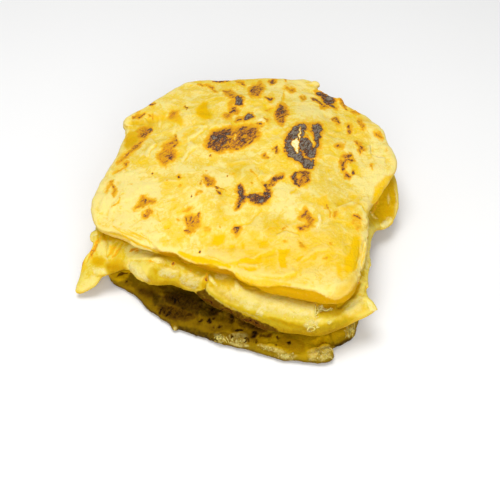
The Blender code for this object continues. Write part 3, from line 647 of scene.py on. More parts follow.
MIDDLE_FLOUR = (
    area(0.75, 2.4, 127, 265, 129.6, 260.5, 136, 261, 140.6, 267.5, 145, 275, 151, 281.5, 146, 282,
         140, 278, 133.5, 273, 128.3, 269),
    area(0.8, 2.6, 158, 272, 163, 268, 172, 267.7, 179, 271, 178, 277, 168, 278, 160, 276),
    area(0.75, 2.6, 179, 279, 183, 274, 191, 273, 199, 277, 200, 285, 196, 289, 188, 288, 181, 284),
    area(0.8, 1.8, 151.7, 259, 156, 256, 162, 258, 164.7, 262, 158, 264, 152, 262),
    area(0.4, 5, 124, 248, 135, 245, 148, 249, 155, 256, 145, 260, 130, 259),
    area(0.8, 2, 215, 276, 219, 272.5, 227, 273.5, 229, 279, 222, 280, 216, 279),
    stroke(1.0, 1.4, 208.5, 276.5, 212, 280, 216, 285.5),
    area(0.9, 1.6, 234, 288, 236, 279, 238.5, 283, 245, 290, 236, 291),
    area(0.55, 6, 219, 290, 232, 287, 250, 292, 270, 295, 290, 300, 308, 304, 315, 309, 315, 318,
         300, 318, 280, 315, 262, 312, 246, 306, 230, 300),
    area(1.2, 1.6, 260, 303, 266, 302, 266.5, 308, 262, 316, 255, 314.5, 258, 308),
    area(0.8, 3, 244, 302, 252, 300, 258, 304, 254, 309, 246, 308),
    area(0.8, 3, 268, 302, 284, 304, 300, 308, 314, 304, 314, 317, 296, 316, 276, 311),
    area(1.2, 1.2, 317, 312, 319, 307.5, 322.5, 306, 324, 309, 320, 312.5),
    stroke(1.2, 0.8, 323, 310, 327, 310.5, 332, 309),
    area(0.8, 3, 303, 324, 312, 319, 322, 318, 318, 326, 308, 329),
    stroke(1.1, 1.1, 307.5, 330, 311, 326.5, 315, 328, 313, 331, 308, 331),
    spot(1.1, 2.4, 1.6, 330, 322.5, -20),
    area(0.5, 4, 345, 312, 352, 302, 362, 294, 366, 300, 362, 310, 350, 317),
    stroke(0.8, 1.1, 346, 311, 351, 306, 357, 302), stroke(0.8, 1.6, 367, 243, 368, 255, 367, 268),
    area(1.1, 1.2, 366, 299, 371, 302, 378, 311, 370, 310.5, 368, 306),
    area(0.5, 4, 76, 288, 90, 276, 98, 274, 95, 285, 85, 292),
    area(0.8, 1.6, 92, 268, 105, 268, 107, 274, 94, 274),
    area(0.35, 3, *LEFT_LOBE),
    area(0.9, 2, 380, 227, 384, 220, 390, 217, 393, 219.5, 388, 226, 383, 229.5),
    stroke(0.5, 1.2, 395, 188, 397, 203, 394, 216), stroke(0.4, 1.2, 388, 194, 389, 204),
    stroke(0.9, 1.2, 371, 212, 373, 217, 377, 218.5), stroke(1.0, 1.3, 97, 234, 92, 236, 90.5, 241),
    stroke(0.8, 0.8, 105.5, 257, 107, 260),
    stroke(0.5, 0.7, 204.8, 288.3, 212, 295.5, 221, 303, 234, 309, 244, 312.8, 257.6, 318),
    spot(0.9, 1.6, 0.9, 241, 302.5, -30), spot(0.9, 1.2, 0.8, 245, 306, 20),
    spot(0.8, 1.4, 0.7, 248, 309.5, 10), spot(0.7, 1.0, 0.7, 238.5, 305),
)

BOTTOM_TOAST = BLISTER_RIMS + (
    area(0.4, 6, 160, 297, 172, 293, 186, 294, 199, 300, 206, 309, 196, 312, 182, 308, 168, 304),
    area(0.9, 1.6, 173, 299, 176, 298, 178, 303, 174.5, 302.5),
    stroke(0.8, 1.7, 161, 308.5, 159.5, 313.5), stroke(0.82, 1.8, 170.5, 312.5, 167, 316.5),
    stroke(0.66, 1.4, 176, 311.5, 181, 312.5), spot(0.85, 1.9, 1.6, 182.8, 308.6),
    area(0.42, 5, 157, 305, 172, 306, 186, 309, 196, 316, 188, 321, 170, 319, 159, 313),
    stroke(0.75, 1.0, 198.5, 321.5, 202, 319.8),
    area(0.92, 1.4, 207, 320.5, 209.5, 318, 211.5, 321, 209, 322.8),
    stroke(0.82, 1.1, 212, 319.5, 214.8, 317.6), stroke(0.84, 1.2, 218.5, 327.6, 221.8, 325.9),
    spot(0.6, 0.9, 0.9, 214.5, 326.8), spot(0.7, 1.2, 1.0, 196, 314),
    area(0.45, 4, 208, 306, 214, 306, 220, 312, 216, 317, 210, 315),
    area(0.48, 4, 228, 312, 234, 313, 234, 322, 229, 323),
    area(0.44, 3, 233, 316, 240, 316, 245, 320, 236, 320), stroke(0.78, 0.9, 235, 330.5, 241.9, 330),
    area(0.8, 2.0, 250.5, 337, 252, 332, 256, 330.7, 258.3, 333, 255, 338),
    stroke(0.72, 1.2, 245, 341.8, 246, 338.5), stroke(0.6, 1.0, 248.5, 339, 249.5, 342),
    stroke(0.72, 1.0, 255.5, 340, 256.3, 343),
    area(0.46, 2.4, 260, 334, 266, 335, 272, 333.5, 269, 337, 261, 337.5),
    spot(0.78, 1.4, 1.6, 231.5, 335.8), spot(0.64, 1.4, 1.2, 277, 337.3),
    area(0.8, 1.2, 287, 342.5, 289, 341.6, 291, 344, 289, 344.8), spot(0.45, 0.8, 0.8, 275.5, 344.6),
    spot(0.9, 1.1, 0.9, 126, 281.5), stroke(0.36, 1.0, 118, 277, 124, 273, 131, 273.5),
    area(0.3, 5, 136, 286, 152, 290, 160, 296, 150, 300, 138, 292),
)
BOTTOM_CREAM = (
    area(0.8, 8, 250, 336, 280, 340, 310, 342, 336, 336, 330, 356, 290, 356, 256, 348),
)
# Painted shade on the bottom layer: under the middle layer's edge and along its lower rims.
BOTTOM_SHADE = (
    area(0.68, 5, 162, 286, 200, 290, 214, 302, 226, 314, 208, 318, 186, 312, 164, 302),
    area(0.66, 5, 150, 293, 162, 294, 170, 308, 153, 306),
    area(0.6, 4, 178, 324, 204, 330, 224, 335, 220, 342, 196, 338, 176, 331),
    area(0.34, 8, 136, 288, 148, 284, 160, 283, 210, 298, 238, 314, 230, 330, 212, 340, 186, 332,
         146, 316, 122, 292),
    area(0.2, 5, 104, 284, 118, 281, 130, 279, 138, 286, 130, 300, 108, 292),
    area(0.3, 12, 226, 318, 262, 322, 262, 346, 226, 346),
    area(0.7, 3, 332, 345, 344, 340, 352, 337, 358, 342, 340, 352),
    area(0.3, 5, 328, 329, 338, 322, 350, 316, 350, 325, 340, 331),
    area(0.35, 5, 279, 338, 304, 340, 306, 352, 292, 352, 279, 346),
)
# Painted light: amber lifts the painted shade of the bottom's palette where the layer is lit, at the
# right and at its left end.
BOTTOM_LIT_AMBER = (
    area(0.46, 7, 256, 332, 284, 337, 306, 334, 328, 333, 332, 346, 328, 356, 306, 358, 284, 352,
         256, 344),
    area(0.3, 6, 232, 319, 250, 321, 264, 331, 250, 333, 236, 329),
    area(1.0, 3, 106, 266, 128, 266, 133, 272, 126, 279, 116, 281, 108, 277),
    stroke(0.9, 0.7, 113.5, 274.5, 117, 276.6, 123, 276, 127, 273.5, 124, 271.6, 118, 272.4),
    area(0.8, 4, 308, 340, 318, 336, 332, 335, 330, 346, 318, 347),
    area(0.6, 5, 330, 334, 336, 328, 352, 322, 353, 332, 342, 337, 332, 342),
)
BOTTOM_FLOUR = (
    area(0.9, 2.4, 214, 334, 219, 333.5, 224, 336, 225, 341, 221, 342.5, 216, 338.5),
    area(0.45, 4, 228, 338, 236, 333.5, 246, 333, 248, 340, 244, 346, 234, 344),
    stroke(0.7, 2.2, 230, 343, 240, 345, 248, 345), stroke(0.5, 2.0, 229, 337, 238, 334),
    stroke(0.6, 2.0, 258, 345.5, 270, 348.5, 285, 352),
    area(0.7, 3, 278, 354, 288, 353.5, 297, 356, 292, 360, 281, 358),
    area(0.62, 3, 307, 352, 318, 347.5, 329, 345.5, 332, 357, 322, 361, 309, 360),
    stroke(0.9, 1.2, 352.5, 323, 353, 336.5), stroke(0.8, 1.4, 345, 330, 349.5, 338),
    stroke(0.6, 1.6, 348, 322, 349, 333), spot(0.9, 2, 2.6, 175, 329),
)


# ---------------------------------------------------------------- meshes

# Corners round a tube.
TUBE_SIDES = 10
# Points on a smooth path for each pixel that it runs through.
PATH_STEPS = 4
# How far in millimetres a strip may lie beside the edge of its layer.
EDGE_REACH = 0.8
# The heights in millimetres at which the edge of a layer is looked for beside a pixel.
EDGE_HEIGHTS = range(2, 46)
# How far the middle of a crumb stands off the surface, as a share of its radius.
CRUMB_LIFT = 0.2
# How crumbs vary: their spread in a spray, their radius, their stretch and the place of a corner,
# all as shares of the full measure.
CRUMB_SPREAD = 0.5
CRUMB_RADIUS = (0.6, 1.5)
CRUMB_STRETCH = (0.6, 1.4)
CRUMB_CORNER = (0.75, 1.25)
# Corners of a solid that lie this close, in millimetres, are one.
WELD = 0.01
# How many times a solid's faces are divided to round it, and how often and how strongly its fine
# skin is evened.
ROUND_LEVELS = 2
EVEN_ROUNDS, EVEN_FACTOR = 5, 0.5
# The upward part of a normal below which a face belongs to the underside.
UNDERSIDE = -0.35
# How far in millimetres a layer above shades a skin, the way that it is looked for, and the shares
# of the shade from which it counts and counts in full.
SHADE_REACH = 6.0
SHADE_WAY = Vector((0, 0.35, 0.94))
SHADE_FROM, SHADE_FULL = 0.1, 0.9
# How far in millimetres another layer is looked for along a skin's normal, and the gaps at which
# the skin starts to be free and is free.
GAP_REACH = 9.0
GAP_CLOSED, GAP_OPEN = 0.4, 4.0


def tube(points, radii, flat):
    """A closed tube through points (millimetres), as vertices and faces. Flat squeezes it in z."""
    sides = TUBE_SIDES
    points = np.array(points, float)
    vertices, faces = [], []
    for index, (point, radius) in enumerate(zip(points, radii)):
        before, after = points[max(index - 1, 0)], points[min(index + 1, len(points) - 1)]
        along = (after - before) / np.linalg.norm(after - before)
        side = np.cross(along, (0, 0, 1.0))
        side /= np.linalg.norm(side)
        rise = np.cross(side, along)
        for k in range(sides):
            turn = 2 * math.pi * k / sides
            out = math.cos(turn) * side + flat * math.sin(turn) * rise
            vertices.append(point + radius * out)
    for ring in range(len(points) - 1):
        for k in range(sides):
            a, b = ring * sides + k, ring * sides + (k + 1) % sides
            faces.append((a, b, b + sides, a + sides))
    last = (len(points) - 1) * sides
    faces.append(tuple(range(sides))[::-1])
    faces.append(tuple(last + k for k in range(sides)))
    return vertices, faces


def added(name, data):
    """A new object in the scene."""
    thing = bpy.data.objects.new(name, data)
    bpy.context.scene.collection.objects.link(thing)
    return thing


def read_shape(mesh):
    """A mesh's corners and faces, to be worked on."""
    shape = bmesh.new()
    shape.from_mesh(mesh)
    return shape


def write_shape(shape, mesh):
    """Puts corners and faces that have been worked on into a mesh."""
    shape.to_mesh(mesh)
    shape.free()


def add_pieces(shape, pieces):
    """Adds closed pieces to a mesh that is being edited. Each is vertices and faces."""
    for vertices, faces in pieces:
        made = [shape.verts.new(Vector(vertex) * MM) for vertex in vertices]
        for face in faces:
            shape.faces.new([made[k] for k in face])
    bmesh.ops.recalc_face_normals(shape, faces=shape.faces)


class Surface:
    """A solid or a skin, and where the camera's sight line through a pixel meets it."""

    def __init__(self, carrier):
        shape = read_shape(carrier.data)
        self.tree = BVHTree.FromBMesh(shape)
        shape.free()

    def meet(self, x, y, lift, on_it=False):
        """The point seen at a pixel, lifted off the surface.

        Past the surface's edge it lies against the edge, or is None if it has to be on the surface.
        """
        way = Vector(at_pixel(x, y, 0.0) - EYE).normalized()
        place, normal, _, _ = self.tree.ray_cast(Vector(EYE) * MM, way)
        if place is not None:
            return np.array(place) / MM + lift * np.array(normal)
        if on_it:
            return None
        beside = [at_pixel(x, y, height) for height in EDGE_HEIGHTS]
        near = [self.tree.find_nearest(Vector(point) * MM) for point in beside]
        nearest = min(range(len(near)), key=lambda k: near[k][3])
        edge = np.array(near[nearest][0]) / MM
        away = beside[nearest] - edge
        return edge + away * min(1.0, EDGE_REACH / np.linalg.norm(away))


def rounded_path(points):
    """The points with a smooth curve through them."""
    points = np.array(points, float)
    padded = np.vstack([2 * points[0] - points[1], points, 2 * points[-1] - points[-2]])
    curve = []
    for k in range(1, len(padded) - 2):
        a, b, c, d = padded[k - 1 : k + 3]
        bend, turn = 2 * a - 5 * b + 4 * c - d, 3 * b - a - 3 * c + d
        for t in np.arange(PATH_STEPS) / PATH_STEPS:
            curve.append(0.5 * (2 * b + (c - a) * t + bend * t**2 + turn * t**3))
    return np.array(curve + [points[-1]])


def strands(surface, rows):
    """Rounded strips of dough on a surface.

    A row is the radius at the start, in the middle and at the end, the lift off the surface, how
    flat the strip is, and the pixels that it runs through.
    """
    made = []
    for start, middle, end, lift, flat, *numbers in rows:
        path = rounded_path([surface.meet(x, y, lift) for x, y in pairs(numbers)])
        share = np.linspace(0, 1, len(path))
        radii = np.interp(share, (0, 0.5, 1), (start, middle, end))
        made.append(tube(path, radii, flat))
    return made


def crumbs(surface, sprays, seed):
    """Small uneven lumps, half sunk in a surface.

    A spray is how many there are, its half width and half height in pixels, their radius in
    millimetres, and its middle.
    """
    draw = np.random.default_rng(seed)
    made = []
    for count, wide, high, size, x, y in sprays:
        for _ in range(count):
            dx, dy = np.clip(draw.normal(0, CRUMB_SPREAD, 2), -1, 1)
            radius = size * draw.uniform(*CRUMB_RADIUS)
            middle = surface.meet(x + dx * wide, y + dy * high, CRUMB_LIFT * radius, on_it=True)
            if middle is None:
                continue
            shape = bmesh.new()
            bmesh.ops.create_icosphere(shape, subdivisions=1, radius=radius)
            stretch = draw.uniform(*CRUMB_STRETCH, 3)
            vertices = [
                middle + np.array(v.co) * stretch * draw.uniform(*CRUMB_CORNER) for v in shape.verts
            ]
            made.append((vertices, [tuple(v.index for v in face.verts) for face in shape.faces]))
            shape.free()
    return made


def apply_modifiers(thing):
    """Replaces the object's mesh by what its modifiers make of it."""
    graph = bpy.context.evaluated_depsgraph_get()
    mesh = bpy.data.meshes.new_from_object(thing.evaluated_get(graph))
    thing.modifiers.clear()
    thing.data = mesh


def vectors(items, key):
    """One row of x, y and z for each item of a mesh."""
    values = np.empty(len(items) * 3, np.float32)
    items.foreach_get(key, values)
    return values.reshape(-1, 3)


def fine_skin(name, node, pieces, voxel, under_share):
    """One fine closed skin round the node's solid and the pieces that stand on it.

    Its underside, which lies on what carries it, is thinned out to a share of its faces.
    """
    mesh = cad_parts[node].data.copy()
    shape = read_shape(mesh)
    bmesh.ops.remove_doubles(shape, verts=shape.verts, dist=WELD * MM)
    write_shape(shape, mesh)
    thing = added(name, mesh)
    thing.modifiers.new("smooth_solid", "SUBSURF").levels = ROUND_LEVELS
    apply_modifiers(thing)
    shape = read_shape(thing.data)
    add_pieces(shape, pieces)
    write_shape(shape, thing.data)
    remesh = thing.modifiers.new("one_skin", "REMESH")
    remesh.mode = "VOXEL"
    remesh.voxel_size = voxel * MM
    even = thing.modifiers.new("even", "SMOOTH")
    even.factor = EVEN_FACTOR
    even.iterations = EVEN_ROUNDS
    apply_modifiers(thing)
    under = thing.vertex_groups.new(name="under")
    normals = vectors(thing.data.vertex_normals, "vector")
    below = np.flatnonzero(normals[:, 2] < UNDERSIDE)
    under.add(below.tolist(), 1.0, "REPLACE")
    thin = thing.modifiers.new("thin_under", "DECIMATE")
    thin.vertex_group = "under"
    thin.ratio = 1 - (1 - under_share) * len(below) / len(normals)
    apply_modifiers(thing)
    thing.vertex_groups.clear()
    return thing


class Skin:
    """A fine mesh as arrays: its points in millimetres, its normals, and where they are seen."""

    def __init__(self, thing):
        self.thing = thing
        self.refresh()

    def refresh(self):
        mesh = self.thing.data
        self.points = vectors(mesh.vertices, "co").astype(float) / MM
        self.normals = vectors(mesh.vertex_normals, "vector").astype(float)
        self.x, self.y = to_photo(self.points)
        toward = EYE - self.points
        toward /= np.linalg.norm(toward, axis=1)[:, None]
        self.facing = (self.normals * toward).sum(axis=1)

    def move(self, distances):
        """Moves the points along their normals and reads the mesh again."""
        moved = self.points + distances[:, None] * self.normals
        self.thing.data.vertices.foreach_set("co", (moved * MM).astype(np.float32).ravel())
        self.thing.data.update()
        self.refresh()

    def warped(self, sizes, seed):
        """Pixel places shifted by noise of some sizes and amounts, for uneven edges."""
        x, y = self.x.copy(), self.y.copy()
        for size, amount in sizes:
            x += amount * layered_noise(self.points, size, 2, seed)
            y += amount * layered_noise(self.points, size, 2, seed + 50)
        return x, y

    def standing_out(self, rounds):
        """How far in millimetres each point stands out of its evened surroundings."""
        mesh = self.thing.data
        ends = np.empty(len(mesh.edges) * 2, np.int32)
        mesh.edges.foreach_get("vertices", ends)
        start, end = ends.reshape(-1, 2).T
        count = len(self.points)
        shared = np.bincount(start, minlength=count) + np.bincount(end, minlength=count)
        even = self.points
        for _ in range(rounds):
            total = [
                np.bincount(start, even[end, axis], count) + np.bincount(end, even[start, axis], count)
                for axis in range(3)
            ]
            even = np.stack(total, axis=1) / shared[:, None]
        return ((self.points - even) * self.normals).sum(axis=1)

    def write(self, name, values):
        layer = self.thing.data.attributes.new(name, "FLOAT", "POINT")
        layer.data.foreach_set("value", values.astype(np.float32))


def covered(skin, nodes):
    """1 where a node lies close above the skin, 0 far below it and in the open."""
    trees = [Surface(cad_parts[node]).tree for node in nodes]
    cover = np.zeros(len(skin.points))
    for index, point in enumerate(skin.points):
        for tree in trees:
            above = tree.ray_cast(Vector(point) * MM, SHADE_WAY, SHADE_REACH * MM)[3]
            if above is not None:
                cover[index] = max(cover[index], 1 - above / (SHADE_REACH * MM))
    return ramp(cover, SHADE_FROM, SHADE_FULL)


def free_way(skin, nodes):
    """1 where the skin is open to the air, falling to 0 where it lies against another layer."""
    others = [Surface(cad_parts[node]).tree for node in nodes]
    gap = np.full(len(skin.points), GAP_REACH)
    for index, (point, normal) in enumerate(zip(skin.points, skin.normals)):
        start = Vector(point) * MM
        for other in others:
            away = other.ray_cast(start, Vector(normal), GAP_REACH * MM)[3]
            if away is not None:
                gap[index] = min(gap[index], away / MM)
    return ramp(gap, GAP_CLOSED, GAP_OPEN)


# ---------------------------------------------------------------- the layers

# Strips of dough that stand on a layer: see strands for what a row says.
TOP_STRANDS = (
    # the horn of the back edge and the knobs beside the charred crust
    (1.4, 2.0, 1.2, -1.0, 0.9, 303, 84.5, 311, 84, 316, 84.6, 319.3, 85.6),
    (0.8, 1.2, 0.9, -0.2, 1.0, 316.5, 90.5, 322, 94, 328, 97.4, 335, 99.5),
    (1.0, 1.5, 1.1, -0.5, 0.9, 333, 101, 338.5, 100.5, 341.5, 103.5, 342, 107),
    (0.6, 1.0, 0.8, -0.3, 1.0, 350, 111, 355, 111.5, 358, 114.5),
    # the flake by the crescent and the thin fold at the left
    (0.35, 0.7, 0.35, 0.1, 1.0, 319.5, 214.5, 320, 221, 317, 228.5),
    (0.6, 0.9, 0.6, -0.2, 1.0, 155, 113, 159.5, 118, 160, 126),
    # the thin skin beside the strip of the right edge
    (0.7, 1.0, 0.5, -0.3, 1.0, 367, 240, 366, 250, 365, 260, 363, 268),
    # the lobe beside the slit
    (1.4, 1.6, 0.8, -0.7, 0.7, 234, 270, 240, 269, 248, 273, 258, 275),
)
MIDDLE_STRANDS = (
    # the white curl at the left, the thick end of the right flap and the torn curl beside it
    (0.9, 1.2, 0.9, 0.0, 1.0, 99, 232.5, 94.5, 233.5, 91.8, 237, 91.5, 241),
    (1.9, 2.4, 2.0, 0.0, 0.9, 381, 227, 386, 223.5, 391, 219.5),
    (0.7, 0.8, 0.5, 0.4, 1.0, 371, 212, 372.5, 216.5, 376, 218.5),
    # the thin sheets of the right side and their thorns
    (0.8, 1.0, 0.8, 0.0, 1.0, 367, 243, 368, 258, 367, 274, 368, 288),
    (1.0, 0.8, 0.5, 0.0, 1.0, 367, 272, 369.5, 264, 371, 259.5),
    (0.9, 0.8, 0.5, 0.0, 1.0, 364, 283, 368, 286.5, 370, 286.5),
    (1.1, 1.1, 0.5, 0.0, 0.8, 364, 298, 371, 303, 377, 310),
    # the thorn by the notch and the pointed fold right of it
    (0.8, 1.1, 0.5, 0.1, 1.0, 208.5, 276, 211.5, 280, 216, 286),
    (0.5, 1.2, 0.8, 0.2, 0.7, 235.5, 279, 238, 284, 243, 290),
)
BOTTOM_STRANDS = (
    # the nub at the front left, the frill at the right and the crumpled end
    (1.4, 1.3, 0.9, -0.2, 1.0, 173.5, 323, 175, 328, 175.5, 331),
    (0.8, 0.9, 0.5, 0.0, 1.0, 352, 323, 352.5, 330, 352.8, 336.5),
    (0.8, 0.9, 0.5, 0.0, 1.0, 346, 330, 348, 334, 349, 337.5),
    (0.5, 0.9, 0.6, 0.3, 1.0, 308, 352.5, 317, 348, 325, 345, 330.5, 345.5),
    (0.5, 0.7, 0.5, 0.3, 1.0, 309, 357, 319, 353, 329, 350, 332.5, 352),
    (0.5, 0.9, 0.5, 0.3, 1.0, 311, 360.5, 321, 357.5, 331, 356),
    (0.5, 0.7, 0.4, 0.2, 1.0, 316, 362, 324, 360.5, 330, 360),
    (0.8, 1.0, 0.7, 0.2, 0.9, 256, 345, 270, 347.5, 283, 351),
)
# Fibres and crumbs that hang on torn edges, finer than the layers' own skins.
MIDDLE_FIBRES = (
    (0.4, 0.35, 0.15, 0.1, 1.0, 317, 313.5, 319.5, 309.5, 321.5, 308, 322.5, 305),
    (0.25, 0.25, 0.1, 0.1, 1.0, 322, 309.5, 326, 310.8, 329, 309.2, 332.5, 308.6),
    (0.3, 0.35, 0.2, 0.1, 1.0, 307.5, 330, 309, 327, 313, 327),
    (0.3, 0.35, 0.2, 0.1, 1.0, 313, 327, 315, 329, 311, 331),
    (0.3, 0.3, 0.12, 0.2, 1.0, 315.5, 305, 315.2, 311, 314.5, 317),
)
BOTTOM_FIBRES = (
    (0.4, 0.3, 0.12, 0.0, 1.0, 219, 338, 221, 341, 221.5, 344),
    (0.4, 0.3, 0.12, 0.0, 1.0, 223, 338, 225.5, 340.5, 227, 343),
    (0.4, 0.3, 0.12, 0.0, 1.0, 226, 337, 228, 340, 228.5, 342.5),
    (0.5, 0.4, 0.15, 0.0, 1.0, 217, 336, 218, 339, 219.5, 341.5),
    (0.4, 0.3, 0.12, 0.1, 1.0, 350, 325, 350.5, 331, 350, 336),
    (0.4, 0.3, 0.12, 0.1, 1.0, 354, 322, 354.2, 328, 353.8, 333),
    (0.4, 0.3, 0.15, 0.1, 1.0, 346, 333, 346, 336, 345, 338),
    (0.5, 0.5, 0.2, 0.1, 1.0, 329, 348, 332, 350, 333, 353),
    (0.5, 0.4, 0.2, 0.1, 1.0, 328, 356, 331, 357.5, 332.5, 359),
    (0.4, 0.3, 0.15, 0.0, 1.0, 282, 355, 285, 357.5, 286, 359.5),
    (0.4, 0.3, 0.15, 0.0, 1.0, 290, 355, 292, 357.5, 292.5, 359.5),
)
# Sprays of crumbs: see crumbs for what a row says.
MIDDLE_CRUMBS = (
    (26, 7, 4, 0.3, 313, 324), (22, 3.4, 3, 0.32, 320, 308), (8, 2.4, 2, 0.32, 330, 322.5),
    (14, 2, 6, 0.24, 316, 313), (16, 6, 1.4, 0.2, 326, 309.5), (16, 12, 5, 0.22, 296, 314),
)
BOTTOM_CRUMBS = (
    (30, 5, 3.5, 0.42, 220, 338.5), (30, 9, 4, 0.38, 240, 341), (26, 9, 2.4, 0.4, 284, 355),
    (16, 9, 2.4, 0.36, 268, 349), (22, 8, 4, 0.4, 323, 354), (14, 3, 6, 0.34, 351, 331),
)
TOP_EDGES = (
    (1.3, 6, *FRONT_LIP),
    # the folds over the lip at the front left
    (0.9, 5, 111, 224, 118, 229, 126, 231.5, 136, 235, 144, 240, 149, 247),
    (0.8, 5, 136, 233, 142, 234, 149, 240, 154, 247, 163, 251),
    # the fold above the slit, the slit and the roll below it
    (1.0, 8, 205, 255, 215, 258, 227, 263, 239, 262, 255, 260, 267, 254, 276, 247),
    (1.0, 5, 238, 266, 246, 266.7, 252, 267.5, 259, 268),
    (0.8, 8, 252, 275, 268, 277, 284, 277, 296, 273),
    # folds of the right side
    (1.3, 8, 366, 229, 368, 220, 366, 212, 361, 206, 353, 203, 346, 205, 334, 207),
    (0.9, 6, 386, 158, 378, 157, 371, 154), (0.8, 5, 370, 154, 371, 144),
    (0.8, 6, 300, 234, 286, 231, 275, 236), (0.8, 6, 298, 262, 308, 258, 318, 250, 330, 249),
    # thin folds at the left and the back
    (1.0, 7, 149, 160, 151, 150, 157, 143), (0.9, 7, 188, 141, 196, 136, 206, 127),
    (0.8, 9, 182, 162, 188, 153, 197, 146), (1.0, 5, 149, 124, 142, 118, 132, 121),
    (0.8, 6, 272, 110, 281, 103, 284, 92), (0.8, 6, 124, 126, 132, 127, 146, 129),
    (0.8, 6, 266, 123, 262, 118, 256, 120), (0.8, 5, 208, 130, 222, 126.5, 232, 127),
    (0.8, 5, 288, 152, 287, 140, 294, 128), (0.8, 5, 316, 146, 319, 138, 317, 128),
)
TOP_RELIEF = (
    # the lump and the strips along the right edge, with grooves between them
    spot(1.4, 5.0, 4.6, 366, 236), stroke(0.9, 2.0, 364.5, 243, 364, 254, 361, 264, 357.5, 275),
    stroke(0.7, 1.5, 369, 243, 368, 254, 366, 266),
    stroke(-0.5, 1.3, 359.5, 242, 359, 254, 356, 263, 352.5, 271),
    # the charred blisters stand out, and the clear patches are sunk
    spot(0.8, 13, 20, 301, 146, -15), spot(0.7, 6, 12, 317, 134), spot(0.6, 5, 6, 239.5, 101),
    spot(0.5, 26, 12, 232, 139, -12), spot(0.5, 9, 6, 302, 178), spot(0.4, 12, 7, 258, 197),
    stroke(-0.6, 1.4, *CHAR_CREASE), spot(-0.5, 4, 7, 295, 145),
    spot(-0.6, 8, 9, 204, 110), spot(-0.5, 6, 8, 176, 118, -20), spot(-0.9, 12, 5, 143, 124, -8),
    spot(-1.0, 7, 8, 131, 138, 20), spot(0.7, 5, 5, 238, 84), spot(0.5, 5, 4, 256, 90),
    spot(0.4, 5, 4, 289, 89), spot(0.6, 6, 4, 261, 120.5), spot(0.5, 4, 4, 335, 122),
    spot(0.5, 3, 5, 349, 129), spot(0.5, 3.5, 5, 362, 124), spot(0.5, 4, 4, 379, 136),
    spot(0.5, 5, 3, 346, 156), spot(0.6, 5, 7, 348, 167), spot(0.4, 4, 5, 361, 147),
    # hollows and swells
    spot(-1.4, 18, 6, 348, 200, -22), spot(-0.8, 12, 5, 298, 236), spot(0.8, 16, 9, 322, 233),
    spot(-0.7, 14, 6, 270, 254, -10), spot(0.7, 14, 7, 308, 276), spot(0.7, 12, 5, 225, 256, 8),
    spot(0.6, 10, 14, 160, 150, 30), spot(-0.6, 8, 10, 236, 165), spot(0.6, 14, 8, 276, 190, -15),
    spot(0.6, 16, 8, 205, 205, -15), spot(-0.6, 20, 6, 190, 128, -30), spot(0.6, 12, 8, 296, 204),
    spot(-0.5, 14, 5, 330, 134, 10), spot(0.6, 8, 12, 374, 170), spot(-0.5, 6, 5, 264, 243),
    spot(-0.5, 3, 4.4, 243, 245), spot(-0.5, 6, 3, 283, 250), spot(-0.5, 4, 3, 232, 247),
    spot(-0.4, 4, 3, 299, 258), spot(-0.6, 8, 5, 324, 203), spot(-0.5, 5, 8, 282, 260),
    spot(0.6, 9, 4, 240, 252), stroke(0.5, 2.0, 120, 198, 112, 210, 110, 220),
    stroke(0.4, 2.0, 104, 196, 100, 212), stroke(-0.5, 1.8, 262, 210, 250, 222, 236, 226),
    stroke(0.5, 2.4, 206, 186, 198, 200, 186, 207), spot(-0.6, 6, 4, 145, 204),
    spot(-0.6, 7, 8, 192, 222), spot(-0.5, 4, 3, 237, 230), spot(-0.6, 7, 8, 306, 219),
)
MIDDLE_EDGES = (
    (0.8, 5, 156, 281, 147, 281, 138, 275, 129, 269, 127, 264, 131, 260.5, 142, 260.5, 154, 262,
         165, 263),
    (1.0, 5, 315, 320, 316.5, 311, 316, 301), (0.7, 5, 238, 280, 244, 288, 255, 289.5),
    (0.6, 6, 368, 289, 367, 272, 368, 255), (0.6, 5, 94, 275, 106, 276, 113, 272),
    (0.6, 5, 204, 292, 199, 289, 190, 289, 181, 285), (0.5, 4, 178, 279, 168, 280, 158, 277),
)
MIDDLE_RELIEF = (
    stroke(-0.8, 1.5, 98, 231, 97, 242, 92, 252, 88, 262),
    stroke(-0.7, 1.4, 104, 230, 106, 242, 106, 256), stroke(-0.7, 1.4, 122, 243, 114, 257),
    stroke(-0.7, 1.4, 116, 243, 107, 257), stroke(0.6, 2.0, 110, 234, 110, 246),
    spot(-0.7, 7, 5, 98.5, 262), spot(0.6, 7, 2.6, 99, 271), spot(-0.9, 9, 6, 117, 266),
    spot(0.9, 12, 6, 141, 270, 25), spot(0.9, 9, 4.4, 168, 272.5, 5), spot(1.1, 9, 6, 190, 280, 15),
    spot(0.5, 6, 3, 158, 260), stroke(-0.4, 2.5, 155, 266, 157, 278),
    stroke(-0.4, 2.2, 179, 271, 181, 284), stroke(-1.3, 2.6, 203, 292, 204, 283, 207, 275),
    spot(0.9, 14, 7, 258, 304, 18), spot(0.5, 5, 6, 261, 308), stroke(-0.7, 2.2, 229, 287, 230, 300),
    spot(0.7, 14, 7, 296, 311, 8), spot(-1.0, 6, 4, 322, 308), spot(0.9, 6, 3, 312, 326),
    spot(0.7, 3, 2.4, 330, 322.5), stroke(-1.2, 3.0, 358, 282, 352, 294, 338, 308),
    spot(0.9, 9, 3.4, 353, 309, -30), stroke(-0.6, 1.5, 366, 283, 364, 296),
    spot(-0.7, 22, 2.5, 280, 322, 18), spot(-0.8, 7, 3, 247, 286, 30),
    stroke(0.5, 1.4, 388, 192, 390, 204, 386, 214),
)
BOTTOM_EDGES = (
    (0.9, 5, 256, 345, 270, 347.5, 284, 351), (0.8, 4, 306, 353, 318, 349, 331, 345),
    (0.9, 4, 308, 360, 320, 358, 332, 353.5), (0.9, 4, 214, 334, 222, 333, 232, 335, 246, 333),
    (0.8, 5, 201, 301, 206, 309, 218, 314, 228, 316, 240, 322, 254, 322),
    (0.7, 5, 162, 292, 172, 290, 180, 296), (0.6, 4, 116, 277, 123, 272, 132, 273),
)
